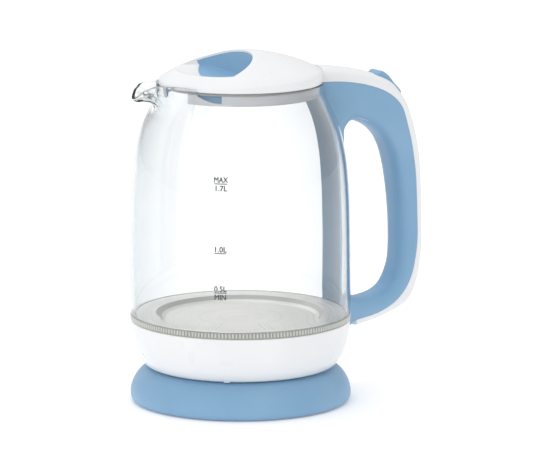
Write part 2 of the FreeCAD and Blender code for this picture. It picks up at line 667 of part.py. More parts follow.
def make_lid():
    under_z = RIM_Z - UNDER_DROP
    plate_top = under_z + UNDER_T
    outer = disc(LID_R, LID_Z, DOME_TOP + 10).common(dome_cap(0.0))
    room = disc(LID_R - LID_WALL, LID_Z - 1, DOME_TOP + 10).common(dome_cap(LID_WALL))
    dome = outer.cut(room)
    land = ring(SKIRT_IN_R, LID_R - LID_WALL / 2.0, LID_Z, LID_Z + LID_LAND)
    dome = dome.fuse(land.common(dome_cap(0.0)))
    for x, y in LID_BOSSES:
        post = disc(LID_BOSS_R, plate_top + FIT_GAP, DOME_TOP, x, y).common(dome_cap(0.5 * LID_WALL))
        dome = dome.fuse(post)
    for x, y in LID_BOSSES:
        dome = dome.cut(disc(SCREW_R + FIT_GAP, under_z, plate_top + LID_SCREW_L + 1.0, x, y))
    dome = dome.cut(scoop_prism(0.0, LID_Z - 1))
    save("lid_dome", dome.cut(steam_tunnel()).removeSplitter())

    floor_z = RIM_Z + SCOOP_FLOOR
    cup = scoop_prism(FIT_GAP, under_z).common(dome_cap(4 * FIT_GAP))
    plate = disc(SKIRT_IN_R - FIT_GAP, under_z, plate_top)
    bowl = cup.fuse(plate)
    bowl = bowl.cut(scoop_prism(SCOOP_WALL, floor_z))
    for side in (1, -1):
        cheek_r = SKIRT_IN_R - FIT_GAP
        cheek = ring(cheek_r - CHEEK_T, cheek_r, LID_Z - SKIRT_DEPTH, under_z + UNDER_T / 2.0)
        first = 180 - side * (WINDOW_START - CHEEK_LAP)
        last = 180 - side * (WINDOW_END + CHEEK_LAP)
        wedge = sector(min(first, last), max(first, last), LID_R + 5, LID_Z - SKIRT_DEPTH - 1, under_z + 1)
        bowl = bowl.fuse(cheek.common(wedge))
    for x, y in LID_BOSSES:
        bowl = bowl.cut(disc(SCREW_R + SCREW_CLEAR, under_z - 1, plate_top + 1, x, y))
    save("finger_bowl", bowl.removeSplitter())

    skirt_low = LID_Z - SKIRT_DEPTH
    skirt = ring(SKIRT_IN_R, SKIRT_R, skirt_low, LID_Z - FIT_GAP)
    beyond = LID_R + 10.0
    pour_from, pour_to = 180 - POUR_HALF_ANGLE, 180 + POUR_HALF_ANGLE
    skirt = skirt.cut(sector(pour_from, pour_to, beyond, skirt_low - 1, RIM_Z - WINDOW_SILL))
    for side in (1, -1):
        first = 180 - side * WINDOW_START
        last = 180 - side * WINDOW_END
        sill, head = skirt_low + WINDOW_SILL, RIM_Z - WINDOW_SILL
        window = sector(min(first, last), max(first, last), beyond, sill, head)
        skirt = skirt.cut(window)
    save("lid_skirt", skirt.removeSplitter())
    save("lid_seal", ring(SKIRT_R + FIT_GAP, NECK_IN_R - MOVE_GAP, RIM_Z - SEAL_H, LID_Z - FIT_GAP))
    screws = [screw(x, y, under_z - SCREW_HEAD_H, plate_top + LID_SCREW_L) for x, y in LID_BOSSES]
    save("lid_screws", Part.makeCompound(screws))


# ---------------------------------------------------------------- handle
def up_top(out, down):
    """Place on the handle's side view, out from the glass and down from the rim."""
    return (GLASS_R + out, RIM_Z - down)


def down_low(out, up):
    """Place on the handle's side view, out from the glass and up from the jug's underside."""
    return (GLASS_R + out, JUG_Z + up)


INNER_X = NECK_R - 14.0


def back_line():
    """Outside of the white cover, from the lid over the top and down the back."""
    return [
        (INNER_X, RIM_Z + 9.6), up_top(1.9, -5.7), up_top(25.0, -0.4), up_top(40.0, 6.5), up_top(49.2, 17.2),
        up_top(55.6, 33.0), up_top(60.8, 56.4), up_top(62.7, 91.6),
        down_low(62.9, 66.6), down_low(60.2, 49.0), down_low(51.2, 31.5),
        down_low(35.0, 23.0), down_low(15.0, 18.6),
    ]


def seam_line():
    """Where the white cover meets the blue grip."""
    return [
        (INNER_X, RIM_Z - 3.0), up_top(-8.0, 2.6), up_top(3.9, 3.9), up_top(21.2, 8.0), up_top(33.2, 12.9),
        up_top(43.9, 21.6), up_top(50.5, 38.5), up_top(55.5, 62.0), up_top(57.7, 92.0),
        down_low(57.0, 65.0), down_low(53.4, 50.5), down_low(47.6, 40.5),
        down_low(39.6, 33.4), down_low(29.2, 28.6),
        down_low(10.0, 24.2),
    ]


def hole_line():
    """Edge of the finger gap, a closed smooth loop."""
    wall = STRIP_T + MOVE_GAP
    return [
        up_top(8.4, 32.0), up_top(19.2, 36.0), up_top(28.9, 39.8), up_top(33.7, 45.7), up_top(37.8, 55.1),
        up_top(41.1, 67.3), up_top(43.6, 85.0),
        down_low(44.9, 80.0), down_low(43.9, 57.7), down_low(37.5, 44.9),
        down_low(24.5, 39.1), down_low(13.0, 38.7),
        down_low(wall + 2.0, 43.0), down_low(wall + 0.3, 52.0), down_low(wall, 76.0),
        up_top(wall - 0.3, 90.7), up_top(wall - 1.2, 67.7), up_top(wall - 2.0, 49.0),
        up_top(wall - 0.6, 37.0),
    ]


def jug_space():
    """What the handle has to stay clear of: glass, housing and the lid's way up."""
    space = glass_body(MOVE_GAP, 0.0)
    housing = shifted(housing_outline(), -MOVE_GAP)
    column = spin_edges([
        curve(housing),
        line(housing[-1], (housing[-1][0], GLASS_Z + 1)),
        line((housing[-1][0], GLASS_Z + 1), (0, GLASS_Z + 1)),
        line((0, GLASS_Z + 1), (0, housing[0][1])),
        line((0, housing[0][1]), housing[0]),
    ])
    belt = disc(GLASS_R + MOVE_GAP, RING_Z - 0.5, GLASS_Z + 1.5)
    lid_way = disc(NECK_R + MOVE_GAP, RIM_Z - 1.0, DOME_TOP + 20)
    return space.fuse(column).fuse(belt).fuse(lid_way)


ROCKER_PIN = up_top(41.5, 13.2)
LEVER_PIN = up_top(22.0, 21.0)


def rocker_side():
    """Side view of the thumb rocker."""
    return [up_top(25.6, 0.4), up_top(28.6, -1.9), up_top(31.6, -2.6), up_top(34.6, -1.0), up_top(40.2, 6.4),
            up_top(45.6, 15.2), up_top(43.6, 16.6), up_top(36.4, 9.6), up_top(30.5, 3.9), up_top(26.2, 2.8)]


def make_handle():
    keep_out = jug_space()
    half = HANDLE_W / 2.0
    back = back_line()
    seam = seam_line()
    seam_edge = curve(seam)
    cover = panel([curve(back), line(back[-1], seam[-1]), seam_edge, line(seam[0], back[0])], half)
    long_edges = [edge for edge in cover.Edges if edge.Length > 4 * HANDLE_W]
    long_edges.sort(key=lambda edge: edge.Length)
    cover = cover.makeFillet(EDGE_ROUND, long_edges[-2:])
    toe = down_low(2.2, 21.0)
    foot = (INNER_X, toe[1])
    grip = panel([seam_edge, line(seam[-1], toe), line(toe, foot), line(foot, seam[0])], half)
    hole = panel([curve(hole_line(), True)], half + 1)
    grip = grip.cut(hole)
    rims = [edge for edge in grip.Edges if edge.Closed]
    grip = grip.makeFillet(EDGE_ROUND, rims)

    chamber = [up_top(-1.0, 9.0), up_top(21.0, 11.0), up_top(32.0, 15.8),
               up_top(42.0, 24.0), up_top(48.0, 39.5),
               up_top(53.0, 62.5), up_top(55.2, 92.0), down_low(54.4, 66.0), down_low(51.0, 52.0),
               down_low(45.6, 43.5), down_low(38.4, 36.4), down_low(28.0, 31.8), down_low(8.0, 28.6),
               down_low(7.0, 33.5), down_low(24.5, 36.0), down_low(38.6, 42.2), down_low(46.6, 57.0),
               down_low(48.0, 80.0), up_top(46.8, 85.0), up_top(44.2, 66.5), up_top(40.8, 53.9),
               up_top(36.2, 43.6), up_top(30.2, 36.8), up_top(19.8, 32.6),
               up_top(8.0, 28.5), up_top(-1.0, 27.5)]
    inside = polygon_panel(chamber, half - GRIP_WALL)
    grip = grip.cut(inside).cut(keep_out)

    slot = [up_top(22.6, -6.0), up_top(38.0, -6.0), up_top(47.4, 12.0),
            up_top(48.3, 16.2), up_top(45.2, 20.5),
            up_top(35.0, 17.5), up_top(22.6, 12.0)]
    slot_cut = polygon_panel(slot, ROCKER_W / 2.0 + ROCKER_SLOT_GAP)
    cover = cover.cut(slot_cut).cut(keep_out)
    grip = grip.cut(slot_cut).cut(steam_tunnel())
    cover = cover.cut(steam_tunnel())
    pin_x, pin_z = ROCKER_PIN
    pin_half = half - PIN_SIDE
    pin_hole = rod(ROCKER_PIN_R, Vector(pin_x, -pin_half, pin_z), Vector(pin_x, pin_half, pin_z))
    cover = cover.cut(pin_hole)
    lever_x, lever_z = LEVER_PIN
    lever_hole = rod(ROCKER_PIN_R, Vector(lever_x, -pin_half, lever_z), Vector(lever_x, pin_half, lever_z))
    grip = grip.cut(lever_hole)
    save("handle_cover", max(cover.Solids, key=lambda solid: solid.Volume))
    save("handle_grip", max(grip.Solids, key=lambda solid: solid.Volume))
    end = pin_half - MOVE_GAP
    for name, x, z in (("rocker_pin", pin_x, pin_z), ("lever_pin", lever_x, lever_z)):
        save(name, rod(ROCKER_PIN_R - PIN_FIT, Vector(x, -end, z), Vector(x, end, z)))


def make_switch():
    """Thumb rocker, the lever it works, the steam disc and the microswitch."""
    bore_r = ROCKER_PIN_R + RUNNING_GAP
    half = ROCKER_W / 2.0
    pin_x, pin_z = ROCKER_PIN
    paddle = polygon_panel(rocker_side(), half)
    hub = rod(ROCKER_HUB_R, Vector(pin_x, -half, pin_z), Vector(pin_x, half, pin_z))
    bore = rod(bore_r, Vector(pin_x, -half - 1, pin_z), Vector(pin_x, half + 1, pin_z))
    save("power_rocker", paddle.fuse(hub).cut(bore).removeSplitter())

    lever_x, lever_z = LEVER_PIN
    side = LEVER_T / 2.0
    arm = block(Vector(lever_x - LEVER_BACK, -side, lever_z - LEVER_ARM_T / 2.0),
                Vector(lever_x + LEVER_FRONT, side, lever_z + LEVER_ARM_T / 2.0))
    boss = rod(ROCKER_HUB_R, Vector(lever_x, -side, lever_z), Vector(lever_x, side, lever_z))
    lever_bore = rod(bore_r, Vector(lever_x, -side - 1, lever_z), Vector(lever_x, side + 1, lever_z))
    save("steam_lever", arm.fuse(boss).cut(lever_bore).removeSplitter())

    low = Vector(lever_x + 1.0, -MICRO_W / 2.0, lever_z - 5.0 - MICRO_H)
    save("micro_switch", block(low, low + Vector(MICRO_L, MICRO_W, MICRO_H)))
    floor = [up_top(-0.5, 27.0), up_top(8.0, 28.2), up_top(19.8, 32.3), up_top(29.8, 36.3)]
    roof = [(x, z + FRAME_T) for x, z in reversed(floor)]
    frame = polygon_panel(floor + roof, HANDLE_W / 2.0 - GRIP_WALL - FIT_GAP)
    post_x, post_top = up_top(6.0, 16.0)
    half_post = FRAME_POST_W / 2.0
    post = block(Vector(post_x - half_post, -FRAME_POST_D / 2.0, floor[0][1]),
                 Vector(post_x + half_post, FRAME_POST_D / 2.0, post_top))
    save("switch_frame", frame.fuse(post))
    save("steam_disc", Part.makeCone(STEAM_DISC_R, STEAM_DISC_R - STEAM_DISC_T, STEAM_DISC_T,
                                     Vector(post_x, 0, post_top + FIT_GAP)))


def make_wires():
    """Two wires from the microswitch down through the handle to the control."""
    start = (LEVER_PIN[0] + 10.8, LEVER_PIN[1] - 7.5)
    route = [start, up_top(35.5, 34.0), up_top(40.6, 46.5), up_top(46.0, 62.0), up_top(50.4, 92.0),
             down_low(50.6, 63.0), down_low(45.0, 44.6), down_low(30.0, 34.2), down_low(9.0, 31.0)]
    wires = []
    for y in (-WIRE_Y, WIRE_Y):
        points = [Vector(x, y, z) for x, z in route]
        wire = rod(WIRE_R, points[0], points[1])
        for i in range(1, len(points) - 1):
            wire = wire.fuse(Part.makeSphere(WIRE_R, points[i])).fuse(rod(WIRE_R, points[i], points[i + 1]))
        wires.append(wire.removeSplitter())
    save("switch_wires", Part.makeCompound(wires))


make_base()
make_socket()
make_housing()
make_heater()
make_control()
make_glass()
make_lid()
make_handle()
make_switch()
make_wires()
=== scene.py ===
"""Looks of the cordless glass kettle, modelled round its CAD frame.

Outlines are in millimetres and become metres where a piece is placed.
The spout points to -X, the handle to +X and the kettle stands on Z = 0.
"""
import json
import math

import bmesh
import bpy
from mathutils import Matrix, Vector


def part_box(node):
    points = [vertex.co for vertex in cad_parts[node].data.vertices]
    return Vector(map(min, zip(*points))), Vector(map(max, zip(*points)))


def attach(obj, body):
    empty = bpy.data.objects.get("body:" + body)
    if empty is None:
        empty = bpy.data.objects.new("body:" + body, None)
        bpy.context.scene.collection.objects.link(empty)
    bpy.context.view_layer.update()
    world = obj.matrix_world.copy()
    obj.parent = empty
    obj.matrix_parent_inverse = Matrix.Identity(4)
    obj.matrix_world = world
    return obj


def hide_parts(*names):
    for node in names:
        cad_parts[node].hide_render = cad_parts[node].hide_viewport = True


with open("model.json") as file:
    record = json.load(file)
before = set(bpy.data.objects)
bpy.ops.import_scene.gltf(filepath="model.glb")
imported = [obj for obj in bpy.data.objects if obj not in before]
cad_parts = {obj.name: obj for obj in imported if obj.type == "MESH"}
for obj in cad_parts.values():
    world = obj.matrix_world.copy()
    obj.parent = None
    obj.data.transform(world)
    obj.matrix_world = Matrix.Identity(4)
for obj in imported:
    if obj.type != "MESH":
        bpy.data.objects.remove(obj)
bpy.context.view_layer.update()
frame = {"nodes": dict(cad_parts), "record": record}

bl_info = {
    "name": "Glass kettle",
    "version": (1, 0, 0),
    "blender": (4, 5, 0),
    "location": "View3D > Sidebar > Kettle",
    "description": "Models the visible pieces of a cordless glass kettle",
    "category": "Object",
}

MM = 0.001
TURN = 2 * math.pi
SAME_PLACE = 0.002 * MM


def corner(node, which):
    """Lowest (0) or highest (1) corner of a CAD node, in millimetres."""
    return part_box(node)[which] / MM


# ---------------------------------------------------------------- places, from the frame
RING_FIT = 0.05
LID_GAP = 0.3
LID_INSET = 0.5
DOME_MARGIN = 0.15
SHUTTER_TO_HOLE = 5.35

GLASS_R = corner("ribbed_ring", 1).y + RING_FIT
BASE_R = GLASS_R
BASE_LOW = corner("base_shell", 0).z
BASE_TOP = corner("base_shell", 1).z
SOCKET_HOLE_R = corner("socket_shutter", 1).y + SHUTTER_TO_HOLE
JUG_Z = corner("lower_housing", 0).z
RING_Z = corner("lower_housing", 1).z
HOUSING_R = corner("lower_housing", 1).y
GLASS_Z = corner("glass_jug", 0).z
LID_Z = corner("lid_dome", 0).z
LID_R = corner("lid_dome", 1).y
RIM_Z = LID_Z - LID_GAP
NECK_R = LID_R + LID_INSET
DOME_TOP = corner("lid_dome", 1).z - DOME_MARGIN
SKIRT_R = corner("lid_skirt", 1).y
SKIRT_LOW = corner("lid_skirt", 0).z
SKIRT_TOP = corner("lid_skirt", 1).z
HANDLE_HALF = corner("handle_grip", 1).y
ROCKER_HALF = corner("power_rocker", 1).y
PLATE_R = corner("heater_plate", 1).y
PLATE_TOP = corner("heater_plate", 1).z


# ---------------------------------------------------------------- lines
def smooth(points, per_span=8, closed=False):
    """Smooth line through the points, with tangents from their neighbours."""
    spots = [Vector(p) for p in points]
    count = len(spots)
    spans = count if closed else count - 1
    slopes = []
    for i, spot in enumerate(spots):
        before = spots[i - 1] if closed or i else spot
        after = spots[(i + 1) % count] if closed or i < count - 1 else spot
        gap_in = max((spot - before).length, 1e-6)
        gap_out = max((after - spot).length, 1e-6)
        if before == spot or after == spot:
            slopes.append((after - before) / (after - before).length)
        else:
            pull_in = (spot - before) / gap_in
            pull_out = (after - spot) / gap_out
            slopes.append((pull_in * gap_out + pull_out * gap_in) / (gap_in + gap_out))
    line = []
    for i in range(spans):
        start, end = spots[i], spots[(i + 1) % count]
        reach = (end - start).length
        for k in range(per_span):
            t = k / per_span
            line.append(start * (2 * t**3 - 3 * t**2 + 1) + end * (3 * t**2 - 2 * t**3)
                        + slopes[i] * reach * (t**3 - 2 * t**2 + t)
                        + slopes[(i + 1) % count] * reach * (t**3 - t**2))
    if not closed:
        line.append(spots[-1])
    return line


def spread(line, count):
    """The same line as evenly spaced points."""
    spots = list(line)
    lengths = [0.0]
    for before, after in zip(spots, spots[1:]):
        lengths.append(lengths[-1] + (after - before).length)
    result = []
    i = 0
    for k in range(count):
        want = lengths[-1] * k / (count - 1)
        while i < len(spots) - 2 and lengths[i + 1] < want:
            i += 1
        share = (want - lengths[i]) / max(lengths[i + 1] - lengths[i], 1e-9)
        result.append(spots[i].lerp(spots[i + 1], min(share, 1.0)))
    return result


def along(line, value, axis=1):
    """Other coordinate of a 2-D line where its given axis has this value."""
    for before, after in zip(line, line[1:]):
        low, high = sorted((before[axis], after[axis]))
        if low <= value <= high and high > low:
            return before.lerp(after, (value - before[axis]) / (after[axis] - before[axis]))[1 - axis]
    ends = sorted((line[0], line[-1]), key=lambda spot: abs(spot[axis] - value))
    return ends[0][1 - axis]


def arc(centre, radius, start, end, steps):
    """Points on an arc in an outline, angles in degrees."""
    points = []
    for i in range(steps + 1):
        angle = math.radians(start + (end - start) * i / steps)
        points.append((centre[0] + radius * math.cos(angle), centre[1] + radius * math.sin(angle)))
    return points


# ---------------------------------------------------------------- mesh work
def new_mesh(add, **settings):
    """Add a primitive with nothing else selected, and open it for editing."""
    bpy.ops.object.select_all(action="DESELECT")
    add(**settings)
    bpy.ops.object.mode_set(mode="EDIT")
    bpy.ops.mesh.select_mode(type="VERT")
    bpy.ops.mesh.select_all(action="SELECT")


def place_selected(points):
    """Put the selected vertices, in their order, at these places in millimetres."""
    mesh = bmesh.from_edit_mesh(bpy.context.object.data)
    chosen = sorted((v for v in mesh.verts if v.select), key=lambda v: v.index)
    if len(chosen) != len(points):
        raise RuntimeError("%d vertices for %d places" % (len(chosen), len(points)))
    for vertex, spot in zip(chosen, points):
        vertex.co = Vector(spot) * MM
    bmesh.update_edit_mesh(bpy.context.object.data)


def clean():
    """Merge doubles and turn every face outwards."""
    bpy.ops.mesh.select_all(action="SELECT")
    bpy.ops.mesh.remove_doubles(threshold=SAME_PLACE)
    bpy.ops.mesh.normals_make_consistent(inside=False)


def close_piece(name, angle=35.0):
    """Leave edit mode, shade the piece and name it."""
    bpy.ops.object.mode_set(mode="OBJECT")
    piece = bpy.context.object
    bpy.ops.object.shade_smooth_by_angle(angle=math.radians(angle))
    piece.name = name
    piece.data.name = name
    return piece


def use_modifier(piece, kind, **settings):
    """Add one modifier with its settings and apply it."""
    bpy.ops.object.select_all(action="DESELECT")
    piece.select_set(True)
    bpy.context.view_layer.objects.active = piece
    bpy.ops.object.modifier_add(type=kind)
    modifier = piece.modifiers[-1]
    for key, value in settings.items():
        setattr(modifier, key, value)
    bpy.ops.object.modifier_apply(modifier=modifier.name)


def soften(piece, width, segments, sharper_than):
    """Round the edges of a piece that are sharper than an angle in degrees."""
    use_modifier(piece, "BEVEL", width=width * MM, segments=segments, limit_method="ANGLE",
                 angle_limit=math.radians(sharper_than))


def smooth_shaded(angle):
    """Shade the active piece smooth, with edges sharper than this left crisp."""
    bpy.ops.object.shade_smooth_by_angle(angle=math.radians(angle))


def turned(name, outline, steps=192, angle=TURN, first=0.0):
    """Piece turned about Z from a closed outline of (radius, height) points."""
    spots = [Vector((r * math.cos(first), r * math.sin(first), z)) for r, z in outline]
    new_mesh(bpy.ops.mesh.primitive_plane_add, size=MM)
    bpy.ops.mesh.merge(type="CENTER")
    bpy.ops.transform.translate(value=spots[0] * MM)
    for before, after in zip(spots, spots[1:] + spots[:1]):
        bpy.ops.mesh.extrude_region_move(TRANSFORM_OT_translate={"value": (after - before) * MM})
    bpy.ops.mesh.select_all(action="SELECT")
    bpy.ops.mesh.remove_doubles(threshold=SAME_PLACE)
    bpy.ops.mesh.select_all(action="SELECT")
    if angle < TURN:
        bpy.ops.mesh.edge_face_add()
    bpy.ops.mesh.spin(steps=steps, angle=angle, center=(0, 0, 0), axis=(0, 0, 1))
    clean()
    return close_piece(name)


def stacked(rings, loop=False, cap=False):
    """Skin pulled through rings of points in millimetres; stays open for editing."""
    new_mesh(bpy.ops.mesh.primitive_circle_add, vertices=len(rings[0]), radius=MM)
    place_selected(rings[0])
    pull = bpy.ops.mesh.extrude_edges_move
    if cap:
        bpy.ops.mesh.edge_face_add()
        pull = bpy.ops.mesh.extrude_region_move
    for ring in rings[1:] + (rings[:1] if loop else []):
        pull()
        place_selected(ring)


def sheet_of(rows):
    """Open skin through rows of points, pulled from row to row."""
    new_mesh(bpy.ops.mesh.primitive_circle_add, vertices=len(rows[0]), radius=MM)
    mesh = bmesh.from_edit_mesh(bpy.context.object.data)
    mesh.edges.ensure_lookup_table()
    mesh.verts.ensure_lookup_table()
    last = mesh.verts[len(rows[0]) - 1]
    extra = next(e for e in last.link_edges if e.other_vert(last).index == 0)
    mesh.edges.remove(extra)
    bmesh.update_edit_mesh(bpy.context.object.data)
    place_selected(rows[0])
    for row in rows[1:]:
        bpy.ops.mesh.extrude_edges_move()
        place_selected(row)


def slab(name, outline, half_width, rounding):
    """Flat piece with a closed (x, z) outline, thick along Y, with rounded rims."""
    near = [(x, -half_width, z) for x, z in outline]
    far = [(x, half_width, z) for x, z in outline]
    new_mesh(bpy.ops.mesh.primitive_circle_add, vertices=len(outline), radius=MM)
    place_selected(near)
    bpy.ops.mesh.edge_face_add()
    bpy.ops.mesh.extrude_region_move()
    place_selected(far)
    clean()
    piece = close_piece(name)
    if rounding:
        soften(piece, rounding, 4, 50)
    return piece


def joined(name, pieces):
    """Several meshes made one piece."""
    bpy.ops.object.select_all(action="DESELECT")
    for piece in pieces:
        piece.select_set(True)
    bpy.context.view_layer.objects.active = pieces[0]
    bpy.ops.object.join()
    pieces[0].name = name
    pieces[0].data.name = name
    return pieces[0]


def cut_away(piece, tool):
    """Take one shape out of a piece, and throw the tool away."""
    use_modifier(piece, "BOOLEAN", operation="DIFFERENCE", solver="EXACT", object=tool)
    bpy.data.objects.remove(tool)


# ---------------------------------------------------------------- shapes that pieces share
def glass_side():
    """Outside of the glass as a (radius, height) line, from its foot to the rim."""
    height = RIM_Z - GLASS_Z
    way_in = GLASS_R - NECK_R
    points = [(GLASS_R - 0.4, GLASS_Z), (GLASS_R, GLASS_Z + 0.15 * height)]
    for up, share in ((0.363, 0.01), (0.555, 0.068), (0.695, 0.195), (0.821, 0.463), (0.913, 0.81),
                      (0.957, 0.968), (1.0, 1.0)):
        points.append((GLASS_R - way_in * share, GLASS_Z + height * up))
    return smooth(points)


def housing_side():
    """Outside of the lower housing as a (radius, height) line, from its underside up."""
    foot = HOUSING_R * 61.0 / 74.5
    steps = ((0.0, 0.0), (0.27, 0.05), (0.47, 0.15), (0.64, 0.29), (0.79, 0.45), (0.90, 0.65),
             (0.975, 0.85), (1.0, 1.0))
    return smooth([(foot + (HOUSING_R - foot) * out, JUG_Z + (RING_Z - JUG_Z) * up)
                   for out, up in steps])


DOME_FALL = 16.6
DOME_CLIMB = 0.0524
DOME_LINE = smooth([(0.0, 0.0), (0.27, 0.093), (0.5, 0.29), (0.68, 0.485), (0.84, 0.71), (1.0, 1.0),
                    (1.2, 1.38)])


def dome(x, y):
    """Height of the lid's outside over a place, climbing towards the handle."""
    return DOME_TOP - DOME_FALL * along(DOME_LINE, math.hypot(x, y) / LID_R, 0) + DOME_CLIMB * x


SCOOP_BACK_X = 4.4
SCOOP_FRONT_X = -43.0
SCOOP_CORNER = (-26.0, 35.0)


def scoop_x(y, side_x):
    """X of the finger recess's edge at y, on the arc through its corners and (side_x, 0)."""
    sagitta = side_x - SCOOP_CORNER[0]
    radius = (SCOOP_CORNER[1] ** 2 + sagitta**2) / (2 * abs(sagitta))
    turn = 1 if sagitta > 0 else -1
    return side_x - turn * (radius - math.sqrt(radius**2 - y**2))


BOWL_HALF = 27.5
BOWL_END = 30.8
BOWL_EDGE_X = -26.3
BOWL_EDGE_CURVE = 9.8
FLOOR_LIFT = 4.5
FLOOR_CLIMB = 6.5


def bowl_edge_x(y):
    """X of the line where the white ramp meets the blue bowl."""
    return BOWL_EDGE_X + BOWL_EDGE_CURVE * (y / BOWL_HALF) ** 2


def floor_z(y):
    """Height of the finger recess's floor, which rises to its corners."""
    return RIM_Z + FLOOR_LIFT + FLOOR_CLIMB * abs(y / SCOOP_CORNER[1]) ** 1.6


def up_top(out, down):
    """Place on the handle's side view, out from the glass and down from the rim."""
    return (GLASS_R + out, RIM_Z - down)


def down_low(out, up):
    """Place on the handle's side view, out from the glass and up from the jug's underside."""
    return (GLASS_R + out, JUG_Z + up)


INNER_X = NECK_R - 14.0


def back_line():
    """Outside of the white cover, from the lid over the top and down the back."""
    return smooth([
        (INNER_X, RIM_Z + 9.6), up_top(1.9, -5.7), up_top(25.0, -0.4), up_top(40.0, 6.5), up_top(49.2, 17.2),
        up_top(55.6, 33.0), up_top(60.7, 56.4), up_top(62.6, 91.6),
        down_low(62.6, 66.6), down_low(60.1, 49.0), down_low(51.2, 32.0), down_low(43.4, 28.0),
        down_low(35.0, 25.2), down_low(25.5, 22.6), down_low(10.0, 19.4),
    ])


def seam_line():
    """Where the white cover meets the blue grip."""
    return smooth([
        (INNER_X, RIM_Z - 3.0), up_top(-8.0, 2.6), up_top(3.9, 3.9), up_top(21.2, 8.0), up_top(33.2, 12.9),
        up_top(43.9, 21.6), up_top(50.5, 38.5), up_top(55.5, 62.0), up_top(57.7, 92.0),
        down_low(57.0, 65.0), down_low(53.4, 50.5), down_low(47.6, 40.5), down_low(39.6, 33.2),
        down_low(29.2, 28.2), down_low(9.0, 23.8),
    ])


def hole_line():
    """Edge of the finger gap, a closed smooth loop."""
    wall = 4.3
    return smooth([
        up_top(8.6, 32.2), up_top(18.4, 34.4), up_top(27.6, 40.0), up_top(33.7, 46.9), up_top(37.8, 55.1),
        up_top(41.1, 67.3), up_top(43.6, 85.0),
        down_low(44.9, 80.0), down_low(43.9, 57.7), down_low(37.5, 44.9), down_low(24.5, 39.1),
        down_low(13.0, 38.7),
        down_low(wall + 2.0, 43.0), down_low(wall + 0.3, 52.0), down_low(wall, 76.0),
        up_top(wall - 0.3, 90.7), up_top(wall - 1.2, 67.7), up_top(wall - 2.0, 49.0),
        up_top(wall - 0.6, 37.0),
    ], closed=True)


# ---------------------------------------------------------------- power base and lower jug
def build_base():
    """Power base: a soft shouldered disc, open underneath, with the socket's hole."""
    height = BASE_TOP
    side = smooth([(BASE_R - 1.9, BASE_LOW), (BASE_R - 0.5, 0.12 * height), (BASE_R, 0.28 * height),
                   (BASE_R - 0.8, 0.46 * height), (BASE_R - 2.7, 0.64 * height),
                   (BASE_R - 5.4, 0.80 * height), (BASE_R - 9.0, 0.925 * height), (BASE_R - 14.0, height)])
    wall = 2.4
    groove_r, groove = 40.0, 0.8
    outline = [tuple(p) for p in side]
    outline += arc((groove_r, height), groove, 0, -180, 6)
    outline += arc((SOCKET_HOLE_R + groove, height - groove), groove, 90, 180, 4)
    outline += [(SOCKET_HOLE_R, height - wall), (BASE_R - 15.0, height - wall), (BASE_R - 9.0, height - 4.6),
                (BASE_R - 5.0, 0.55 * height), (BASE_R - wall, 0.3 * height),
                (BASE_R - wall - 1.6, BASE_LOW)]
    piece = turned("power_base", outline)
    inlet_r, inlet_x, inlet_up, inlet_length = 3.6, 71.0, 9.0, 14.0
    new_mesh(bpy.ops.mesh.primitive_cylinder_add, vertices=48, radius=inlet_r * MM, depth=inlet_length * MM,
             location=(inlet_x * MM, 0, (BASE_LOW + inlet_up) * MM), rotation=(0, TURN / 4, 0))
    cut_away(piece, close_piece("inlet_tool"))
    smooth_shaded(35)
    return piece


def build_housing():
    """White lower housing: a bowl with a crisp top edge and a latch mark at the front."""
    side = [tuple(p) for p in housing_side()]
    foot_r = side[0][0]
    wall, edge, ledge = 2.2, 0.5, 10.0
    outline = side[:-1]
    outline += arc((HOUSING_R - edge, RING_Z - edge), edge, 0, 90, 3)
    inside = [(r - wall, z + 0.6) for r, z in side[4::6] if r > side[4][0]]
    outline += [(HOUSING_R - ledge, RING_Z), (HOUSING_R - ledge, RING_Z - 3.0),
                (HOUSING_R - 3.4, RING_Z - 3.2)]
    outline += [spot for spot in reversed(inside) if spot[1] < RING_Z - 4.0]
    outline += [(foot_r - 1.0, JUG_Z + 2.8), (foot_r - 1.0, JUG_Z)]
    shell = turned("shell", outline, steps=256)
    latch_angle, latch_height = math.radians(-128), 1.3
    out = Vector((math.cos(latch_angle), math.sin(latch_angle), 0))
    across = Vector((-out.y, out.x, 0))
    rings = []
    for reach, low, half in ((-0.4, 0.25, 2.4), (2.1, 0.05, 2.1), (2.9, 0.55, 1.9)):
        foot = out * (foot_r + reach) + Vector((0, 0, JUG_Z + low))
        head = foot + Vector((0, 0, latch_height))
        rings.append([foot + across * half, head + across * half, head - across * half, foot - across * half])
    stacked(rings, cap=True)
    clean()
    latch = close_piece("latch")
    use_modifier(latch, "BEVEL", width=0.25 * MM, segments=2)
    return joined("white_housing", [shell, latch])


RIB_PROFILE = (0.0, 0.55, 1.0, 1.0, 0.55, 0.0)
RIB_DEPTH = 0.88


def build_ring(ribs):
    """Clear ring under the glass with fine upright ribs moulded round it."""
    low, high = corner("ribbed_ring", 0).z, corner("ribbed_ring", 1).z
    inner = PLATE_R + 0.35
    plain = GLASS_R - 0.95
    chamfer = 0.3
    points = len(RIB_PROFILE)
    count = ribs * points

    def circle(radius, z, depth=0.0):
        spots = []
        for i in range(count):
            angle = TURN * i / count
            r = radius + depth * RIB_PROFILE[i % points]
            spots.append((r * math.cos(angle), r * math.sin(angle), z))
        return spots

    rings = [circle(plain - chamfer, low), circle(plain, low + 0.35), circle(plain, low + 0.9),
             circle(plain, low + 1.2, RIB_DEPTH), circle(plain, high - 1.0, RIB_DEPTH),
             circle(plain, high - 0.7), circle(plain, high - chamfer), circle(plain - chamfer, high),
             circle(inner, high), circle(inner, low)]
    stacked(rings, loop=True)
    clean()
    return close_piece("ribbed_clear_ring", 25)


DISH_R = 53.0
STEP_R = 57.7


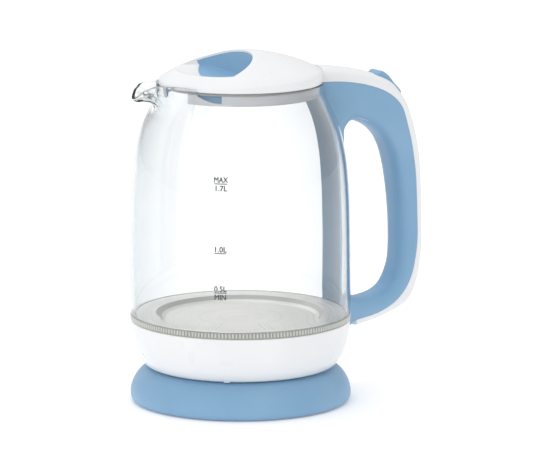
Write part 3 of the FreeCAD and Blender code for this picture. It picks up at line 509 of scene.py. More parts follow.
def build_heater():
    """Steel floor of the jug: a wide dish, a sloped step and a flat flange."""
    thick = 0.8
    dish_z = PLATE_TOP - 3.95
    top = [(0.0, dish_z + 0.15), (DISH_R - 6.0, dish_z + 0.1)]
    top += arc((DISH_R - 2.4, dish_z + 1.9), 1.85, -90, -42, 5)
    top += arc((DISH_R + 4.9, PLATE_TOP - 1.3), 1.25, 135, 90, 5)
    top += [(PLATE_R - 8.5, PLATE_TOP)] + arc((PLATE_R - 7.5, PLATE_TOP + 0.35), 0.55, -140, -40, 4)
    top += [(PLATE_R - 6.5, PLATE_TOP), (PLATE_R, PLATE_TOP)]
    low = [(PLATE_R, PLATE_TOP - thick), (DISH_R + 4.8, PLATE_TOP - thick), (DISH_R + 0.4, dish_z - thick),
           (0.0, dish_z - thick)]
    return turned("steel_floor", top + low, steps=256)


# ---------------------------------------------------------------- glass
SPOUT_PLAN = smooth([(0.0, 1.0), (1.2, 1.0), (3.6, 0.925), (6.8, 0.75), (11.2, 0.51), (16.3, 0.246),
                     (19.6, 0.096), (24.0, 0.012), (29.0, 0.0)], 6)
SPOUT_RIM = smooth([(0.0, 0.0), (0.15, 2.89), (0.46, 3.4), (0.73, 1.53), (0.92, -2.55), (1.0, -4.93)], 6)
SPOUT_LEVELS = 34
SPOUT_REACH = 29.0


def spout_share(angle):
    """How far the wall has gone over from neck to spout tip, by the angle from the spout."""
    off = abs(math.degrees(angle - math.pi))
    if off >= SPOUT_REACH:
        return 0.0
    return max(0.0, along(SPOUT_PLAN, off, 0))


def glass_angles():
    """Angles round the jug, closer together at the spout."""
    near = [0.35 * i for i in range(1, 21)]
    mid = [7.0 + 0.9 * i for i in range(1, 27)]
    far = [mid[-1] + (180 - mid[-1]) * i / 70 for i in range(1, 71)]
    off = near + mid + far
    degrees = [180.0] + [180 + a for a in off] + [180 - a for a in reversed(off[:-1])]
    return [math.radians(a) for a in degrees]


def build_glass(wall):
    """Glass jug with a thick wall, a fire-rounded rim and a drawn pouring lip."""
    side = glass_side()
    split_z = RIM_Z - 36.0
    neck = spread([p for p in side if p.y >= split_z], SPOUT_LEVELS)
    start = neck[0]
    tip_r = GLASS_R + 7.0
    under = spread(smooth([(start.x, start.y), (66.6, RIM_Z - 28.0), (64.0, RIM_Z - 20.0),
                           (63.6, RIM_Z - 14.5),
                           (65.6, RIM_Z - 10.6), (69.5, RIM_Z - 8.4), (75.0, RIM_Z - 7.4),
                           (tip_r - 1.4, RIM_Z - 6.8), (tip_r - 0.1, RIM_Z - 5.2)]), SPOUT_LEVELS)
    angles = glass_angles()
    below = [p for p in side if p.y < split_z][::2]
    rings = [[(p.x * math.cos(a), p.x * math.sin(a), p.y) for a in angles] for p in below]
    shares = [spout_share(a) for a in angles]
    for k in range(SPOUT_LEVELS):
        rise = (k / (SPOUT_LEVELS - 1)) ** 3
        ring = []
        for angle, share in zip(angles, shares):
            spot = neck[k].lerp(under[k], share)
            top = along(SPOUT_RIM, share, 0)
            lift = rise * (top + share * 5.2)
            ring.append((spot.x * math.cos(angle), spot.x * math.sin(angle), spot.y + lift))
        rings.append(ring)
    stacked(rings)
    clean()
    piece = close_piece("glass_barrel")
    use_modifier(piece, "SOLIDIFY", thickness=wall, offset=-1.0, use_quality_normals=True)
    soften(piece, 0.8, 3, 60)
    smooth_shaded(50)
    return piece


# ---------------------------------------------------------------- level marks
MARK_ANGLE = math.radians(-129.8)
MARK_GAP = 0.25
CAP_SHARE = 0.73
# Height of each line in the frame, what is printed above and below it, and its width.
LEVELS = ((160.6, "MAX", "1.7L", 8.4), (114.3, "1.0L", "", 8.0), (87.8, "0.5L", "MIN", 8.4))
TOP_WORD_WIDTH = 9.4
LOW_WORD_WIDTH = 7.8
WORD_LIFT = 0.9
WORD_DROP = 1.0


def wrap_on_glass(piece, middle_z):
    """Lay flat lettering, drawn in the XY plane, round the outside of the glass."""
    side = glass_side()
    for vertex in piece.data.vertices:
        z = middle_z + vertex.co.y / MM
        r = along(side, z) + MARK_GAP + vertex.co.z / MM
        angle = MARK_ANGLE + vertex.co.x / MM / r
        vertex.co = Vector((r * math.cos(angle), r * math.sin(angle), z)) * MM


def letters(text, height, width, middle_z, low):
    """One word of print on the glass, its foot this far above the level line."""
    bpy.ops.object.select_all(action="DESELECT")
    bpy.ops.object.text_add()
    bpy.context.object.data.body = text
    bpy.context.object.data.size = height / CAP_SHARE * MM
    bpy.context.object.data.align_x = "CENTER"
    bpy.context.object.data.bevel_depth = 0.1 * MM
    bpy.context.object.data.bevel_resolution = 0
    bpy.ops.object.convert(target="MESH")
    piece = bpy.context.object
    squeeze = width * MM / piece.dimensions.x
    bpy.ops.object.mode_set(mode="EDIT")
    bpy.ops.mesh.select_all(action="SELECT")
    bpy.ops.transform.resize(value=(squeeze, 1, 1), center_override=(0, 0, 0))
    bpy.ops.transform.translate(value=(0, low * MM, 0))
    bpy.ops.mesh.remove_doubles(threshold=SAME_PLACE)
    bpy.ops.object.mode_set(mode="OBJECT")
    wrap_on_glass(piece, middle_z)
    return piece


def level_line(width, middle_z):
    """The thin line of a level mark."""
    new_mesh(bpy.ops.mesh.primitive_grid_add, x_subdivisions=12, y_subdivisions=1, size=MM)
    bpy.ops.transform.resize(value=(width, 0.6, 1))
    bpy.ops.object.mode_set(mode="OBJECT")
    piece = bpy.context.object
    wrap_on_glass(piece, middle_z)
    use_modifier(piece, "SOLIDIFY", thickness=0.08 * MM, offset=0.0)
    return piece


def build_marks(letter_height):
    """Level scale printed on the glass."""
    pieces = []
    for level_z, upper, lower, width in LEVELS:
        pieces.append(level_line(width, level_z))
        upper_width = TOP_WORD_WIDTH if upper == "MAX" else width
        pieces.append(letters(upper, letter_height, upper_width, level_z, WORD_LIFT))
        if lower:
            foot = -letter_height - WORD_DROP
            pieces.append(letters(lower, letter_height, LOW_WORD_WIDTH, level_z, foot))
    return joined("level_marks", pieces)


# ---------------------------------------------------------------- lid
SCOOP_STEPS = 44
EDGE_DROP = 0.35
BOWL_LEAN = 3.2


def scoop_ys():
    """Y of the points along a side of the finger recess, closer at its corners."""
    return [SCOOP_CORNER[1] * math.sin(math.pi * (k / SCOOP_STEPS - 0.5)) for k in range(SCOOP_STEPS + 1)]


def build_dome():
    """White lid: a tilted dome with a half-moon recess that ramps down from the spout side."""
    ys = scoop_ys()
    back = [(scoop_x(y, SCOOP_BACK_X), y) for y in ys]
    front = [(scoop_x(y, SCOOP_FRONT_X), y) for y in reversed(ys)][1:-1]
    leaf = back + front
    centre = Vector((-20.0, 0.0))
    rim = []
    for x, y in leaf:
        way = (Vector((x, y)) - centre).normalized()
        reach = -centre.dot(way) + math.sqrt(centre.dot(way) ** 2 - centre.dot(centre) + LID_R**2)
        rim.append(centre + way * reach)
    edge = 1.6
    rings = []
    for drop_in, z in ((0.35, LID_Z), (0.0, LID_Z + 0.35)):
        rings.append([(p.x * (1 - drop_in / LID_R), p.y * (1 - drop_in / LID_R), z) for p in rim])
    for share in (0.45, 1.0):
        rings.append([(p.x, p.y, LID_Z + 0.4 + (dome(p.x, p.y) - edge - LID_Z - 0.4) * share)
                      for p in rim])
    for turn in (30, 60, 90):
        inset = edge * (1 - math.cos(math.radians(turn)))
        fall = edge * (1 - math.sin(math.radians(turn)))
        shrink = 1 - inset / LID_R
        rings.append([(p.x * shrink, p.y * shrink, dome(p.x * shrink, p.y * shrink) - fall * 0.8)
                      for p in rim])
    inner = [Vector((p.x, p.y)) * (1 - edge / LID_R) for p in rim]
    spans = 22
    for k in range(1, spans + 1):
        share = (k / spans) ** 0.85
        ring = []
        for start, (x, y) in zip(inner, leaf):
            spot = start.lerp(Vector((x, y)), share)
            fall = EDGE_DROP if k == spans else 0.0
            ring.append((spot.x, spot.y, dome(spot.x, spot.y) - fall))
        rings.append(ring)
    stacked(rings)
    bpy.ops.object.mode_set(mode="OBJECT")
    top_piece = bpy.context.object
    back_edge = [(x, y, dome(x, y) - EDGE_DROP) for x, y in back]
    lip = [(x + 0.15, y, dome(x, y) - 1.7) for x, y in back]
    sheet_of([back_edge, lip])
    bpy.ops.object.mode_set(mode="OBJECT")
    lip_piece = bpy.context.object
    rows = []
    front_line = [(scoop_x(y, SCOOP_FRONT_X), y) for y in ys]
    spans = 12
    for k in range(spans + 1):
        share = k / spans
        ease = share + 0.10 * math.sin(TURN / 2 * share)
        row = []
        for (x, y), (back_x, _) in zip(front_line, back):
            end_x = min(bowl_edge_x(y), back_x) if abs(y) < SCOOP_CORNER[1] - 0.01 else x
            top = dome(x, y) - EDGE_DROP
            low = min(floor_z(y), top)
            row.append((x + (end_x - x) * share, y, top + (low - top) * ease))
        rows.append(row)
    wall = []
    for x, y, z in rows[-1]:
        foot = z - 1.6
        if abs(y) > BOWL_END:
            foot = max(z, dome(x, y) - 1.6)
        wall.append((x, y, foot))
    rows.append(wall)
    sheet_of(rows)
    bpy.ops.object.mode_set(mode="OBJECT")
    ramp = bpy.context.object
    piece = joined("lid_shell", [top_piece, lip_piece, ramp])
    bpy.ops.object.mode_set(mode="EDIT")
    clean()
    close_piece("lid_shell", 32)
    use_modifier(piece, "SOLIDIFY", thickness=1.5 * MM, offset=-1.0)
    smooth_shaded(32)
    return piece


def bowl_round(y):
    """1 in the middle of the finger recess, falling to 0 at its ends."""
    return math.sqrt(1 - (y / (BOWL_END + 1.0)) ** 2)


def build_bowl():
    """Blue inside of the finger recess, the plate under the lid and the window pieces."""
    ys = [(BOWL_END + 0.9) * math.sin(math.pi * (k / SCOOP_STEPS - 0.5)) for k in range(SCOOP_STEPS + 1)]
    rows = []
    backs = [(scoop_x(y, SCOOP_BACK_X), y) for y in ys]
    tops = [(x + EDGE_DROP, y, dome(x, y) - 1.25) for x, y in backs]
    for share in (0.0, 0.2, 0.4, 0.6, 0.8, 0.93, 1.0):
        row = []
        for x, y, z in tops:
            low = floor_z(y) - 0.4
            lean = BOWL_LEAN * share**1.5 * bowl_round(y)
            row.append((x - lean, y, z + (low + 0.9 - z) * share))
        rows.append(row)
    for share in (0.05, 0.15, 0.35, 0.6, 0.85, 1.0):
        row = []
        for x, y, z in tops:
            start = x - BOWL_LEAN * bowl_round(y)
            end = min(bowl_edge_x(y) - 2.5, start - 0.5)
            sink = 0.9 * (1 - max(0.0, 1 - share / 0.15))
            row.append((start + (end - start) * share, y, floor_z(y) + 0.5 - sink))
        rows.append(row)
    sheet_of(rows)
    clean()
    bowl = close_piece("bowl", 40)
    use_modifier(bowl, "SOLIDIFY", thickness=1.2 * MM, offset=-1.0)
    inside = SKIRT_R - 1.95
    low = RIM_Z - 0.7
    outline = [(0.0, low), (inside - 0.5, low)] + arc((inside - 0.5, low + 0.5), 0.5, -60, 0, 3)
    outline += [(inside, low + 1.4), (inside - 0.4, low + 1.8), (0.0, low + 1.8)]
    plate = turned("plate", outline, 128)
    pieces = [bowl, plate]
    for side in (1, -1):
        first = math.radians(180 - side * 37.5 + 12.5)
        outline = [(inside - 1.25, SKIRT_LOW + 0.2), (inside - 0.05, SKIRT_LOW + 0.2),
                   (inside - 0.05, low + 0.9), (inside - 1.25, low + 0.9)]
        pieces.append(turned("cheek", outline, 16, math.radians(25), first))
    return joined("recess_and_plate", pieces)


def build_skirt():
    """White skirt under the lid, open at the spout and with two windows."""
    pour, window = 19.0, (28.0, 47.0)
    marks = sorted({0.0, pour, *window, 180.0})
    offs = []
    for start, end in zip(marks, marks[1:]):
        steps = max(6, int((end - start) / 2.5))
        offs += [start + (end - start) * k / steps for k in range(steps)]
    offs.append(180.0)
    degrees = [180 + a for a in offs] + [180 - a for a in reversed(offs[1:-1])]
    sill = SKIRT_LOW + 1.8
    head = RIM_Z - 1.8

    def ring(level):
        points = []
        for value in degrees:
            off = abs(value - 180)
            z = level
            if level == sill and window[0] <= off <= window[1]:
                share = (off - window[0]) / (window[1] - window[0])
                z = sill + (head - sill - 0.7) * (1 - share) ** 2.2
            angle = math.radians(value)
            points.append((SKIRT_R * math.cos(angle), SKIRT_R * math.sin(angle), z))
        return points

    stacked([ring(SKIRT_LOW), ring(sill), ring(head), ring(SKIRT_TOP)])
    clean()
    mesh = bmesh.from_edit_mesh(bpy.context.object.data)
    for face in mesh.faces:
        middle = face.calc_center_median() / MM
        off = abs(math.degrees(math.atan2(middle.y, -middle.x)))
        foot = min(vertex.co.z for vertex in face.verts) / MM
        in_window = window[0] < off < window[1] and foot > sill - 0.1 and middle.z < head
        face.select = in_window or (off < pour and middle.z < head)
    bmesh.update_edit_mesh(bpy.context.object.data)
    bpy.ops.mesh.select_mode(type="FACE")
    bpy.ops.mesh.delete(type="FACE")
    piece = close_piece("pouring_skirt")
    use_modifier(piece, "SOLIDIFY", thickness=1.8 * MM, offset=-1.0)
    soften(piece, 0.25, 2, 60)
    return piece


# ---------------------------------------------------------------- handle
CLEARANCE = 0.3
SLOT_GAP = 0.6


def body_side():
    """Glass, clear ring and housing as one (radius, height) line, with room for the handle."""
    housing = [(p.x + CLEARANCE, p.y) for p in housing_side() if p.y > JUG_Z + 20.0]
    belt = [(GLASS_R + CLEARANCE, RING_Z + 0.2), (GLASS_R + CLEARANCE, GLASS_Z + 4.0)]
    glass = [(p.x + CLEARANCE, p.y) for p in glass_side() if p.y > GLASS_Z + 6.0]
    return [Vector(p) for p in housing + belt + glass]


def slot_tool():
    """Shape of the slot that the power rocker moves in."""
    outline = [up_top(26.4, -6.0), up_top(41.0, -6.0), up_top(50.6, 12.0), up_top(49.8, 16.8),
               up_top(45.8, 21.0), up_top(35.0, 18.0), up_top(26.4, 12.0)]
    return slab("slot_tool", outline, ROCKER_HALF + SLOT_GAP, 0.0)


def build_grip():
    """Blue inner side of the handle: a ring round the finger gap with a full, soft inner edge."""
    left, foot, seam = 70, 12, 150
    toe = Vector(down_low(1.6, 19.2))
    seam_all = [p for p in seam_line() if p.x > NECK_R + CLEARANCE]
    strip = spread([p for p in body_side() if toe.y < p.y < seam_all[0].y], left)
    strip[0] = Vector((along(body_side(), toe.y), toe.y))
    strip[-1] = Vector((along(body_side(), seam_all[0].y), seam_all[0].y))
    under = spread([seam_all[-1], toe], foot + 1)[1:]
    outer = list(reversed(spread(list(reversed(seam_all)), seam))) + under + strip[1:-1]
    hole = hole_line()
    top = max(range(len(hole)), key=lambda i: hole[i].y - 0.9 * hole[i].x)
    hole = hole[top:] + hole[:top + 1]
    low = min(range(len(hole)), key=lambda i: hole[i].y + 0.6 * hole[i].x)
    bend = max(0, low - 8)
    inner = spread(hole[:bend + 1], seam)
    inner += spread(hole[bend:low + 1], foot + 1)[1:] + spread(hole[low:], left)[1:-1]
    glass_side_from = seam + foot - 1
    half = HANDLE_HALF
    ways = [(b - a).normalized() for a, b in zip(inner, outer)]
    rounds = [min(11.0, 0.82 * (b - a).length) for a, b in zip(inner, outer)]
    for _ in range(6):
        rounds = [(rounds[i - 1] + 2 * r + rounds[(i + 1) % len(rounds)]) / 4
                  for i, r in enumerate(rounds)]
        rounds = [min(r, 0.88 * (b - a).length) for r, a, b in zip(rounds, inner, outer)]
    rings = [[(p.x, 0.0, p.y) for p in inner]]
    for turn in range(0, 91, 10):
        ring = []
        for p, way, r in zip(inner, ways, rounds):
            spot = p + way * r * (1 - math.cos(math.radians(turn)))
            ring.append((spot.x, half - r + r * math.sin(math.radians(turn)), spot.y))
        rings.append(ring)
    edge = 0.5
    flank = ((half, edge), (half - 0.15, 0.15), (half - edge, 0.0), (9.5, 0.0), (6.5, 0.0), (3.2, 0.0),
             (0.0, 0.0))
    for y, inset in flank:
        ring = []
        for i, (p, way) in enumerate(zip(outer, ways)):
            spot = p - way * inset
            x = spot.x
            if i >= glass_side_from and i < len(outer):
                x = math.sqrt(spot.x**2 - y**2)
            ring.append((x, y, spot.y))
        rings.append(ring)
    stacked(rings)
    clean()
    piece = close_piece("handle_inner_side", 40)
    use_modifier(piece, "MIRROR", use_axis=(False, True, False))
    cut_away(piece, slot_tool())
    smooth_shaded(40)
    return piece


def build_cover():
    """White outer side of the handle: a crowned strip from the lid over the top and down the back."""
    count = 150
    start_x = LID_R + 0.8
    seam = spread([p for p in seam_line() if p.x > start_x], count)
    back = spread([p for p in back_line() if p.x > start_x], count)
    half = HANDLE_HALF
    rings = []
    for i, (low, high) in enumerate(zip(seam, back)):
        thick = (high - low).length
        crown = min(6.0, 0.8 * thick)
        square = 2.4 + 1.4 * min(1.0, max(0.0, (RIM_Z - 12.0 - high.y) / 40.0))
        side = [(half - 0.25, 0.0), (half, 0.25), (half, (thick - crown) / 2), (half, thick - crown)]
        for turn in (10, 20, 30, 40, 50, 60, 70, 80):
            bend = math.radians(turn)
            side.append((half * math.cos(bend) ** (2 / square),
                         thick - crown + crown * math.sin(bend) ** (2 / square)))
        loop = side + [(0.0, thick)] + [(-y, up) for y, up in reversed(side)]
        loop += [(-half / 2, 0.0), (0.0, 0.0), (half / 2, 0.0)]
        ring = []
        for y, up in loop:
            spot = low.lerp(high, up / thick)
            x = spot.x
            near = max(0.0, 1 - i / 20)
            x -= near * (start_x - math.sqrt(start_x**2 - y**2))
            ring.append((x, y, spot.y))
        rings.append(ring)
    stacked(rings, cap=True)
    bpy.ops.mesh.edge_face_add()
    clean()
    piece = close_piece("handle_outer_side", 40)
    soften(piece, 0.5, 3, 55)
    cut_away(piece, slot_tool())
    smooth_shaded(40)
    return piece


def build_rocker():
    """Power rocker on top of the handle: a crowned paddle on a round hub."""
    outline = smooth([up_top(28.4, 2.4), up_top(30.6, 0.0), up_top(32.8, -0.9), up_top(35.8, 0.6),
                      up_top(42.2, 7.4), up_top(48.0, 15.8), up_top(45.2, 17.2), up_top(37.4, 11.6),
                      up_top(32.0, 6.6), up_top(28.9, 4.6)], 4, closed=True)
    paddle = slab("paddle", outline, ROCKER_HALF, 1.6)
    hub_x, hub_z = up_top(41.5, 13.2)
    hub = slab("hub", arc((hub_x, hub_z), 2.9, 0, 345, 23), ROCKER_HALF - 1.0, 0.4)
    return joined("power_rocker_key", [paddle, hub])


# ---------------------------------------------------------------- finishes
def paint(code):
    """Linear colour from a hex code such as #8DB4D1."""
    values = []
    for i in (1, 3, 5):
        share = int(code[i:i + 2], 16) / 255
        values.append(share / 12.92 if share <= 0.04045 else ((share + 0.055) / 1.055) ** 2.4)
    return (*values, 1.0)


def add_node(tree, kind, settings=None, links=None):
    """Add a shader node, set its properties and sockets, and link other nodes' outputs into it."""
    node = tree.nodes.new(kind)
    for key, value in (settings or {}).items():
        if isinstance(key, str) and hasattr(node, key):
            setattr(node, key, value)
        else:
            node.inputs[key].default_value = value
    for key, output in (links or {}).items():
        tree.links.new(output, node.inputs[key])
    return node


def new_finish(name, lamps_through=False):
    """Empty node material with its shader, returned as (material, tree, shader)."""
    material = bpy.data.materials.new(name)
    material.use_nodes = True
    tree = material.node_tree
    tree.nodes.clear()
    shader = add_node(tree, "ShaderNodeBsdfPrincipled")
    surface = shader.outputs["BSDF"]
    if lamps_through:
        path = add_node(tree, "ShaderNodeLightPath")
        gap = add_node(tree, "ShaderNodeBsdfTransparent", {"Color": (0.985, 0.99, 0.99, 1.0)})
        both = {0: path.outputs["Is Shadow Ray"], 1: surface, 2: gap.outputs["BSDF"]}
        surface = add_node(tree, "ShaderNodeMixShader", links=both).outputs["Shader"]
    add_node(tree, "ShaderNodeOutputMaterial", links={"Surface": surface})
    return material, tree, shader


def noise_of(tree, size_mm, detail=4.0, stretch=None):
    """Noise with features of about this size, laid in the object's own coordinates."""
    place = add_node(tree, "ShaderNodeTexCoord").outputs["Object"]
    if stretch:
        place = add_node(tree, "ShaderNodeMapping", {"Scale": stretch}, {"Vector": place}).outputs["Vector"]
    noise = add_node(tree, "ShaderNodeTexNoise", {"Scale": 1.0 / (size_mm * MM), "Detail": detail},
                     {"Vector": place})
    return noise.outputs["Fac"]


def ranged(tree, value, low, high):
    """A 0.3 to 0.7 noise value brought to another range."""
    limits = {"From Min": 0.3, "From Max": 0.7, "To Min": low, "To Max": high}
    node = add_node(tree, "ShaderNodeMapRange", limits, {"Value": value})
    return node.outputs["Result"]


def blended(tree, share, first, second):
    """Two colours mixed by a share."""
    node = add_node(tree, "ShaderNodeMix", {"data_type": "RGBA"}, {0: share})
    for socket, value in ((node.inputs[6], first), (node.inputs[7], second)):
        if isinstance(value, bpy.types.NodeSocket):
            tree.links.new(value, socket)
        else:
            socket.default_value = value
    return node.outputs[2]


def moulded(name, colour, shade, rough=0.3, coat=0.15, texture_mm=0.35, depth=0.02, clear=0.0):
    """Injection-moulded plastic: a faint cloudiness, a fine texture and uneven gloss."""
    material, tree, shader = new_finish(name)
    cloud = ranged(tree, noise_of(tree, 38.0), 0.0, 1.0)
    fleck = ranged(tree, noise_of(tree, 2.4, 3.0), 0.0, 0.12)
    base = blended(tree, cloud, colour, shade)
    tree.links.new(blended(tree, fleck, base, shade), shader.inputs["Base Color"])
    gloss = ranged(tree, noise_of(tree, 22.0, 2.0), rough - 0.03, rough + 0.05)
    tree.links.new(gloss, shader.inputs["Roughness"])
    fine = noise_of(tree, texture_mm, 2.0)
    bump = add_node(tree, "ShaderNodeBump", {"Strength": 0.12, "Distance": depth * MM}, {"Height": fine})
    tree.links.new(bump.outputs["Normal"], shader.inputs["Normal"])
    shader.inputs["Coat Weight"].default_value = coat
    shader.inputs["Coat Roughness"].default_value = 0.08
    shader.inputs["Transmission Weight"].default_value = clear
    return material


def metal(name, colour, shade, rough=0.32, turned_grain=False):
    """Worked metal: fine drawn grain, slight tarnish and uneven polish."""
    material, tree, shader = new_finish(name)
    if turned_grain:
        place = add_node(tree, "ShaderNodeTexCoord").outputs["Object"]
        apart = add_node(tree, "ShaderNodeSeparateXYZ", links={"Vector": place})
        flat = add_node(tree, "ShaderNodeCombineXYZ",
                        links={"X": apart.outputs["X"], "Y": apart.outputs["Y"]})
        reach = add_node(tree, "ShaderNodeVectorMath", {"operation": "LENGTH"}, {0: flat.outputs["Vector"]})
        grain_place = add_node(tree, "ShaderNodeCombineXYZ", links={"X": reach.outputs["Value"]})
        grain = add_node(tree, "ShaderNodeTexNoise", {"Scale": 1.0 / (0.5 * MM), "Detail": 5.0},
                         {"Vector": grain_place.outputs["Vector"]}).outputs["Fac"]
    else:
        grain = noise_of(tree, 0.5, 4.0, (1.0, 1.0, 0.06))
    cloud = ranged(tree, noise_of(tree, 26.0), 0.0, 1.0)
    line = ranged(tree, grain, 0.0, 0.5)
    base = blended(tree, cloud, colour, shade)
    tree.links.new(blended(tree, line, base, shade), shader.inputs["Base Color"])
    tree.links.new(ranged(tree, grain, rough - 0.06, rough + 0.1), shader.inputs["Roughness"])
    bump = add_node(tree, "ShaderNodeBump", {"Strength": 0.2, "Distance": 0.01 * MM}, {"Height": grain})
    tree.links.new(bump.outputs["Normal"], shader.inputs["Normal"])
    shader.inputs["Metallic"].default_value = 1.0
    shader.inputs["Anisotropic"].default_value = 0.35
    return material


def clear_finish(name, colour, edge_colour, rough, index, smear=0.02):
    """Clear body: almost colourless face on, with a darker tint where it is seen edge on."""
    material, tree, shader = new_finish(name, lamps_through=True)
    edge = add_node(tree, "ShaderNodeLayerWeight", {"Blend": 0.26})
    cloud = ranged(tree, noise_of(tree, 30.0), 0.0, 0.25)
    face = blended(tree, cloud, colour, (1.0, 1.0, 1.0, 1.0))
    tree.links.new(blended(tree, edge.outputs["Facing"], face, edge_colour), shader.inputs["Base Color"])
    tree.links.new(ranged(tree, noise_of(tree, 18.0, 6.0), rough, rough + smear), shader.inputs["Roughness"])
    shader.inputs["Transmission Weight"].default_value = 1.0
    shader.inputs["IOR"].default_value = index
    return material


def round_bands(tree, low_mm, high_mm):
    """0 to 1 share between two distances from the kettle's upright axis."""
    place = add_node(tree, "ShaderNodeTexCoord").outputs["Object"]
    flat = add_node(tree, "ShaderNodeVectorMath", {"operation": "MULTIPLY", 1: (1.0, 1.0, 0.0)}, {0: place})
    reach = add_node(tree, "ShaderNodeVectorMath", {"operation": "LENGTH"}, {0: flat.outputs["Vector"]})
    share = add_node(tree, "ShaderNodeMapRange", {"From Min": low_mm * MM, "From Max": high_mm * MM},
                     {"Value": reach.outputs["Value"]})
    return share.outputs["Result"]


def shader_of(tree):
    """The one surface shader in a material's nodes."""
    return next(node for node in tree.nodes if node.type == "BSDF_PRINCIPLED")


def floor_finish():
    """Polished steel with a circular grain, with a painted reflection darkening the drawn step."""
    material = metal("polished stainless floor", paint("#FBF9F3"), paint("#F4F1E9"), 0.3, True)
    tree = material.node_tree
    shader = shader_of(tree)
    bright = shader.inputs["Base Color"].links[0].from_socket
    # Band over the drawn step where a reflection is painted in as a darker grey.
    painted_reflection_inner = round_bands(tree, DISH_R, DISH_R + 1.0)
    painted_reflection_outer = round_bands(tree, STEP_R, STEP_R - 0.7)
    step = add_node(tree, "ShaderNodeMath", {"operation": "MULTIPLY"}, {0: painted_reflection_inner, 1: painted_reflection_outer})
    # Painted reflection: the step band is blended to a darker grey.
    tone = blended(tree, step.outputs["Value"], bright, paint("#C2C2BD"))
    tree.links.new(tone, shader.inputs["Base Color"])
    shader.inputs["Metallic"].default_value = 0.25
    return material


def ribbed_finish():
    """Clear polycarbonate, pale on the crests of the ribs, with painted shade greying the grooves between
    them.
    """
    material = clear_finish("ribbed polycarbonate", paint("#F4F4F0"), paint("#C9CBC4"), 0.12, 1.5, 0.05)
    tree = material.node_tree
    shader = shader_of(tree)
    # Painted shade: the grooves between the ribs are coloured grey and the crests pale.
    painted_groove_shade = round_bands(tree, GLASS_R - 0.8, GLASS_R - 0.2)
    tree.links.new(blended(tree, painted_groove_shade, paint("#BDBFB8"), paint("#F6F6F2")), shader.inputs["Base Color"])
    shader.inputs["Transmission Weight"].default_value = 0.35
    return material


def finish_for(slot, colours):
    """Material of a slot of the record, from the colours in the panel."""
    blue, white = (*colours.blue, 1.0), (*colours.white, 1.0)
    makers = {
        "blue_plastic": lambda: moulded("satin blue ABS", blue, paint("#80AACC"), 0.42, 0.06),
        "white_plastic": lambda: moulded("glossy white ABS", white, paint("#EDEEF0"), 0.3, 0.15),
        "black_plastic": lambda: moulded("matt black nylon", paint("#1C1C1E"), paint("#262629"),
                                         0.5, 0.0, 0.2, 0.03),
        "rubber": lambda: moulded("grey rubber", paint("#4A4A4C"), paint("#3C3C3E"), 0.7, 0.0, 0.15, 0.04),
        "silicone": lambda: moulded("milky silicone", paint("#D9DADA"), paint("#C8CACA"),
                                    0.45, 0.0, 0.3, 0.01, 0.15),
        "steel": lambda: metal("brushed stainless steel", paint("#D6D4CF"), paint("#B4B2AD"), 0.34, True),
        "aluminium": lambda: metal("die-cast aluminium", paint("#B9BBBE"), paint("#9C9EA2"), 0.42),
        "brass": lambda: metal("drawn brass", paint("#C8A35A"), paint("#A9853F"), 0.3),
        "glass": lambda: clear_finish("borosilicate glass", (*colours.glass, 1.0), paint("#AFBCC6"),
                                      0.0, 1.47),
        "clear_plastic": lambda: clear_finish("clear polycarbonate", paint("#F0F1EC"), paint("#B4B7B0"),
                                              0.06, 1.5, 0.05),
        "wire": lambda: moulded("wire insulation", paint("#B03A30"), paint("#8E2C25"), 0.45, 0.0, 0.4, 0.01),
    }
    return makers[slot]()


def dress(piece, material):
    """Give a piece one material."""
    piece.data.materials.clear()
    piece.data.materials.append(material)


def settle(piece, body, slot, *nodes, finish=None):
    """Say which body a piece moves with, its finish, and the CAD nodes it stands for."""
    dress(piece, finish or finish_for(slot, bpy.context.scene.kettle_colours))
    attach(piece, body)
    if nodes:
        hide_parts(*nodes)


# ---------------------------------------------------------------- what a user would change
def colour_choice(name, description, code):
    """Colour property that starts from a hex code."""
    return bpy.props.FloatVectorProperty(name=name, description=description, subtype="COLOR", size=3,
                                         min=0.0, max=1.0, default=paint(code)[:3])


def length_choice(name, description, low, high, default):
    """Length property in metres."""
    return bpy.props.FloatProperty(name=name, description=description, subtype="DISTANCE", unit="LENGTH",
                                   min=low, max=high, default=default)


class KettleColours(bpy.types.PropertyGroup):
    """Colours of the kettle's plastics, glass and print."""

    blue: colour_choice("Blue plastic", "Colour of the base and the handle's inner side", "#88B1D1")
    white: colour_choice("White plastic", "Colour of the lid, housing and handle cover", "#F2F3F4")
    glass: colour_choice("Glass", "Tint of the glass jug seen face on", "#FAFBFB")
    printed: colour_choice("Print", "Colour of the level scale", "#1E1E1E")


class KettleSizes(bpy.types.PropertyGroup):
    """Sizes that don't come from the CAD frame."""

    glass_wall: length_choice("Glass wall", "Thickness of the glass jug's wall", 0.001, 0.004, 0.0024)
    ribs: bpy.props.IntProperty(name="Ribs", description="Number of upright ribs round the clear ring",
                                min=60, max=300, default=200)
    letter_height: length_choice("Letter height", "Height of the capitals of the level scale",
                                 0.002, 0.006, 0.0037)


# ---------------------------------------------------------------- operators
class KETTLE_OT_base(bpy.types.Operator):
    """Model the blue power base"""

    bl_idname = "kettle.power_base"
    bl_label = "Power base"

    def execute(self, context):
        settle(build_base(), "base", "blue_plastic", "base_shell")
        return {"FINISHED"}


class KETTLE_OT_housing(bpy.types.Operator):
    """Model the white housing under the glass"""

    bl_idname = "kettle.housing"
    bl_label = "Lower housing"

    def execute(self, context):
        settle(build_housing(), "jug", "white_plastic", "lower_housing")
        return {"FINISHED"}


class KETTLE_OT_ring(bpy.types.Operator):
    """Model the ribbed clear ring"""

    bl_idname = "kettle.ribbed_ring"
    bl_label = "Ribbed ring"

    def execute(self, context):
        ring = build_ring(context.scene.kettle_sizes.ribs)
        settle(ring, "jug", "clear_plastic", "ribbed_ring", finish=ribbed_finish())
        return {"FINISHED"}


